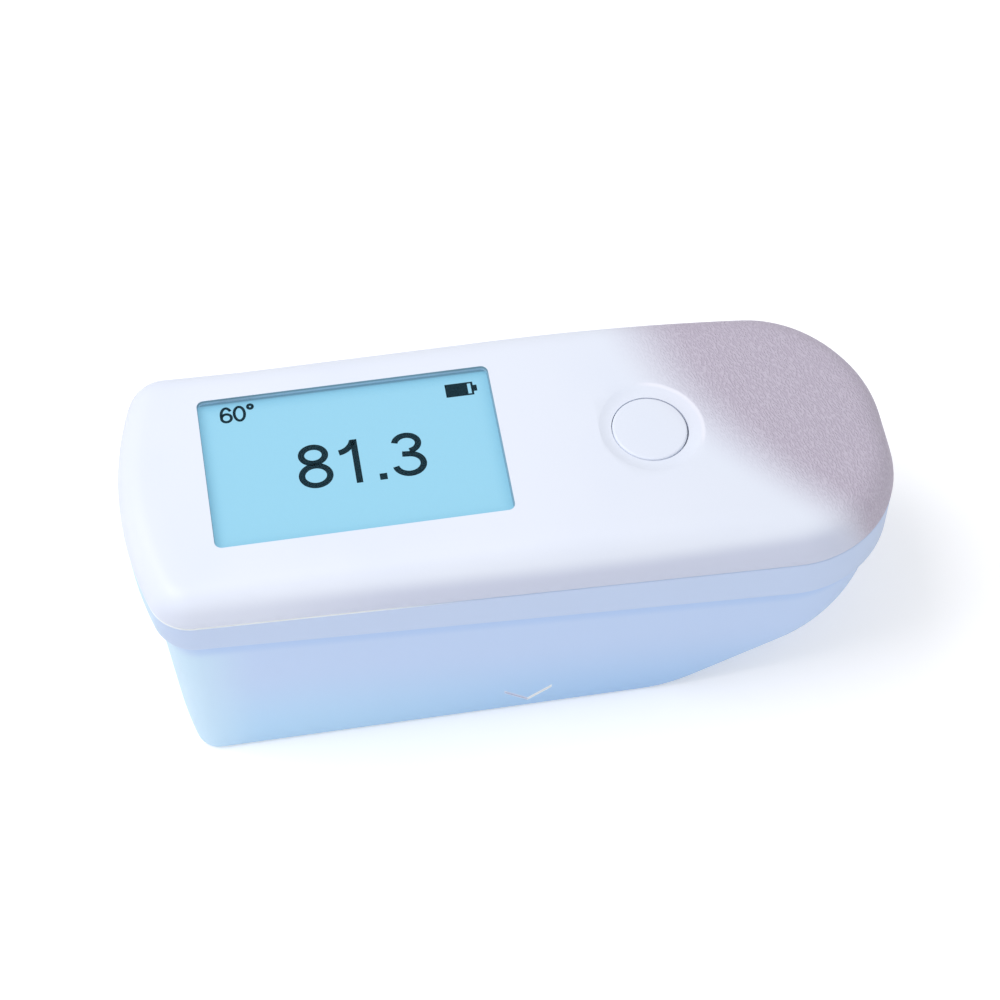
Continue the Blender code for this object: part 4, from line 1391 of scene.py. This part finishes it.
@dataclass
class Display:
    """The figures on the panel, drawn as ribbons, and the battery symbol."""

    picture_top: float = 0.0561
    picture_depth: float = 0.0004
    picture_corner: float = 0.001
    cover_corner: float = 0.0017
    margin: float = 0.0009
    lift: float = 0.00003
    rows: tuple[Row, ...] = (
        Row("display_reading", "81.3", (-0.0375, -0.0035), (0.0, 0.007, 0.0126, 0.018),
            0.0101, 0.00124),
        Row("display_angle", "60o", (-0.0528, 0.0141), (0.0, 0.0026, 0.0048), 0.0038, 0.00056),
    )
    dot: float = 0.58
    battery_start: Point = (-0.0103, 0.0135)
    battery_size: Point = (0.00545, 0.0031)
    battery_line: float = 0.00036
    battery_level: float = 0.00435
    battery_tip: float = 0.0007
    tip_ends: Ramp = (0.27, 0.73)

    def arc(
        self, centre: Point, radii: Point, start: float, end: float, steps: int = 48
    ) -> list[Point]:
        """Points of an ellipse's arc, its angles in degrees."""
        return ellipse(centre, radii, math.radians(start), math.radians(end), steps)

    def strokes(self, sign: str, stroke: float) -> list[list[Point]]:
        """The centre lines of a sign one unit tall.

        Args:
            sign: The sign.
            stroke: The stroke's width as a share of the height.

        Returns:
            One list of points for each stroke.
        """
        edge = stroke / 2
        if sign == "8":
            return [
                self.arc((0, 0.755), (0.225, 0.245 - edge), -90, 270),
                self.arc((0, 0.285), (0.265, 0.285 - edge), -90, 270),
            ]
        if sign == "3":
            upper = self.arc((-0.01, 0.755), (0.225, 0.245 - edge), 170, -80)
            lower = self.arc((-0.01, 0.285), (0.265, 0.285 - edge), 88, -172)
            return [upper, [(-0.12, 0.52), *lower]]
        if sign == "1":
            flag = self.arc((-0.24, 1.06), (0.33, 0.33), -84, -14, 16)
            return [[(0.1, 0.0), (0.1, 1.0)], flag]
        if sign == "0":
            return [self.arc((0, 0.5), (0.26, 0.5 - edge), -90, 270)]
        if sign == "6":
            return [
                self.arc((0.01, 0.315), (0.25, 0.315 - edge), -90, 270),
                self.arc((0.02, 0.48), (0.26, 0.52 - edge), 198, 32),
            ]
        return [self.arc((0, 0.86), (0.125, 0.125), -90, 270)]

    def ribbon(self, bm: Mesh, points: Sequence[Vector], half: float) -> None:
        """A flat ribbon: one edge drawn along the points by extruding it.

        Args:
            bm: The mesh that it is drawn in.
            points: Its centre line.
            half: Half its width.
        """
        closed = (points[0] - points[-1]).length < 1e-7
        before = [points[-2 if closed else 0], *points[:-1]]
        after = [*points[1:], points[1 if closed else -1]]
        ways = [(last - first).normalized() for first, last in zip(before, after)]
        sides = [Vector((-way.y, way.x, 0)) * half for way in ways]
        pair = [bm.verts.new(points[0] + sides[0]), bm.verts.new(points[0] - sides[0])]
        edge = bm.edges.new(pair)
        for point, side in zip(points[1:], sides[1:]):
            grown = bmesh.ops.extrude_edge_only(bm, edges=[edge])["geom"]
            edge = next(item for item in grown if isinstance(item, bmesh.types.BMEdge))
            pair = sorted(edge.verts, key=lambda v, last=pair[0].co: (v.co - last).length)
            pair[0].co, pair[1].co = point + side, point - side

    def sign(self, row: Row, ink: Material) -> None:
        """Draws a row of signs as one piece.

        Args:
            row: The row.
            ink: Its material.
        """
        z, height, stroke = self.picture_top + self.lift, row.height, row.stroke
        bm = bmesh.new()
        for sign, step in zip(row.text, row.steps):
            x, y = row.start[0] + step, row.start[1]
            if sign == ".":
                half = stroke * self.dot
                place = Matrix.Translation((x, y + half, z))
                bmesh.ops.create_grid(bm, x_segments=1, y_segments=1, size=half, matrix=place)
                continue
            for line in self.strokes(sign, stroke / height):
                points = [Vector((x + px * height, y + py * height, z)) for px, py in line]
                self.ribbon(bm, points, stroke / 2)
        bmesh.ops.recalc_face_normals(bm, faces=bm.faces)
        for face in bm.faces:
            if face.normal.z < 0:
                face.normal_flip()
        piece = new_object(row.name, bm)
        dress(piece, ink, "housing")

    def battery(self, ink: Material) -> None:
        """Draws the battery symbol as a frame, its level and its tip.

        Args:
            ink: Its material.
        """
        (left, foot), z = self.battery_start, self.picture_top + self.lift
        (wide, tall), line, level = self.battery_size, self.battery_line, self.battery_level
        low_tip, high_tip = (tall * share for share in self.tip_ends)
        bars = [
            ((0.0, 0.0), (level, tall)),
            ((level, 0.0), (wide, line)),
            ((level, tall - line), (wide, tall)),
            ((wide - line * 1.2, line), (wide, tall - line)),
            ((wide, low_tip), (wide + self.battery_tip, high_tip)),
        ]
        bm = bmesh.new()
        for first, last in bars:
            middle = [(a + b) / 2 for a, b in zip(first, last)]
            place = Matrix.Translation((left + middle[0], foot + middle[1], z))
            grow = Matrix.Diagonal(((last[0] - first[0]) / 2, (last[1] - first[1]) / 2, 1, 1))
            bmesh.ops.create_grid(bm, x_segments=1, y_segments=1, size=1.0, matrix=place @ grow)
        piece = new_object("display_battery_symbol", bm)
        dress(piece, ink, "housing")

    def build(self, finishes: Finishes) -> None:
        """Draws the whole display and the window over it.

        Args:
            finishes: The materials.
        """
        place, size, top = LAYOUT.window_centre, LAYOUT.window_size, self.picture_top
        wide = (size[0] + 2 * self.margin, size[1] + 2 * self.margin)
        picture = block(place, wide, top - self.picture_depth, top, self.picture_corner)
        picture.name = "display_picture"
        dress(picture, finishes.by_slot["lit_panel"], "housing")
        low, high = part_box("window_lens")
        size = (high.x - low.x, high.y - low.y)
        lens = block(place, size, top + 2 * self.lift, high.z, self.cover_corner)
        lens.name = "window_cover"
        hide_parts("window_lens")
        dress(lens, finishes.by_slot["clear_window"], "housing")
        ink = finishes.by_slot["display_ink"]
        for row in self.rows:
            self.sign(row, ink)
        self.battery(ink)


@dataclass(frozen=True)
class Lamp:
    """One soft square lamp."""

    name: str
    place: Triple
    size: float
    power: float
    color: Color


@dataclass
class Studio:
    """The floor, the lamps and the camera."""

    focal: float = 2.76843
    azimuth: float = math.radians(-10.61)
    elevation: float = math.radians(56.0)
    roll: float = math.radians(1.32)
    aim: Triple = (-0.0043, -0.0128, 0.058)
    distance: float = 0.51894
    sensor: float = 36.0
    clip: Ramp = (0.01, 50.0)
    middle: Triple = (0.0, 0.0, 0.03)
    lamps: tuple[Lamp, ...] = (
        Lamp("key", (-0.45, 0.05, 0.85), 0.6, 4.5, (1.0, 0.99, 1.0)),
        Lamp("fill", (0.15, -0.85, 0.4), 0.7, 0.95, (0.93, 0.95, 1.0)),
    )
    surround: float = 0.62
    floor_size: float = 4.0
    floor_color: Color = (0.93, 0.93, 0.94)
    floor_roughness: float = 0.9
    floor_glow: Ramp = (0.26, 0.5)
    floor_fade: Ramp = (0.1, 1.2)

    def camera(self) -> None:
        """Places the camera as the photograph's."""
        data = bpy.data.cameras.new("camera")
        data.sensor_width = self.sensor
        data.lens = self.focal * self.sensor
        data.clip_start, data.clip_end = self.clip
        made = bpy.data.objects.new("camera", data)
        bpy.context.scene.collection.objects.link(made)
        turn = Matrix.Rotation(self.azimuth, 4, "Z")
        turn @= Matrix.Rotation(math.pi / 2 - self.elevation, 4, "X")
        turn @= Matrix.Rotation(self.roll, 4, "Z")
        back = Matrix.Translation((0, 0, self.distance))
        made.matrix_world = Matrix.Translation(self.aim) @ turn @ back
        bpy.context.scene.camera = made

    def light(self, lamp: Lamp) -> None:
        """Hangs one lamp, facing the object.

        Args:
            lamp: The lamp.
        """
        data = bpy.data.lights.new(lamp.name, "AREA")
        data.size, data.energy, data.color = lamp.size, lamp.power, lamp.color
        made = bpy.data.objects.new(lamp.name, data)
        bpy.context.scene.collection.objects.link(made)
        made.location = lamp.place
        way = Vector(self.middle) - Vector(lamp.place)
        made.rotation_euler = way.to_track_quat("-Z", "Y").to_euler()

    def floor(self) -> None:
        """A plain pale floor."""
        bm = bmesh.new()
        bmesh.ops.create_grid(bm, x_segments=1, y_segments=1, size=self.floor_size)
        made = new_object("floor", bm)
        graph = Graph("floor")
        seen = graph.value("ShaderNodeLightPath", {}, {}, "Is Camera Ray")
        x, y, _ = graph.axes()
        near, far = ((glow,) * 3 for glow in self.floor_glow)
        glow = graph.blend(graph.step(x * x + y * y, *self.floor_fade), near, far)
        graph.surface(
            base_color=self.floor_color,
            roughness=self.floor_roughness,
            specular_ior_level=0.0,
            emission_color=graph.blend(seen, (0.0, 0.0, 0.0), glow),
            emission_strength=1.0,
        )
        made.data.materials.append(graph.material)

    def world(self) -> None:
        """A soft surround that the camera sees as white."""
        world = bpy.data.worlds.new("studio")
        bpy.context.scene.world = world
        world.use_nodes = True
        nodes, links = world.node_tree.nodes, world.node_tree.links
        ground, path = nodes["Background"], nodes.new("ShaderNodeLightPath")
        ground.inputs["Color"].default_value = (1.0, 1.0, 1.0, 1.0)
        mix = nodes.new("ShaderNodeMix")
        mix.data_type = "FLOAT"
        mix.inputs["A"].default_value = self.surround
        mix.inputs["B"].default_value = 1.0
        links.new(path.outputs["Is Camera Ray"], mix.inputs["Factor"])
        links.new(mix.outputs[0], ground.inputs["Strength"])

    def build(self) -> None:
        """Sets the whole studio up."""
        bpy.context.scene.view_settings.view_transform = "Standard"
        self.camera()
        self.floor()
        self.world()
        for lamp in self.lamps:
            self.light(lamp)


def main() -> None:
    """Builds the object's pieces in order."""
    logging.basicConfig(level=logging.INFO, format="%(message)s")
    Studio().build()
    finishes = Finishes().build()
    finishes.dress_nodes()
    form = Housing()
    UpperShell(form).build(finishes)
    LowerShell(form).build(finishes)
    Button(form).build(finishes)
    Display().build(finishes)


if __name__ == "__main__":
    main()
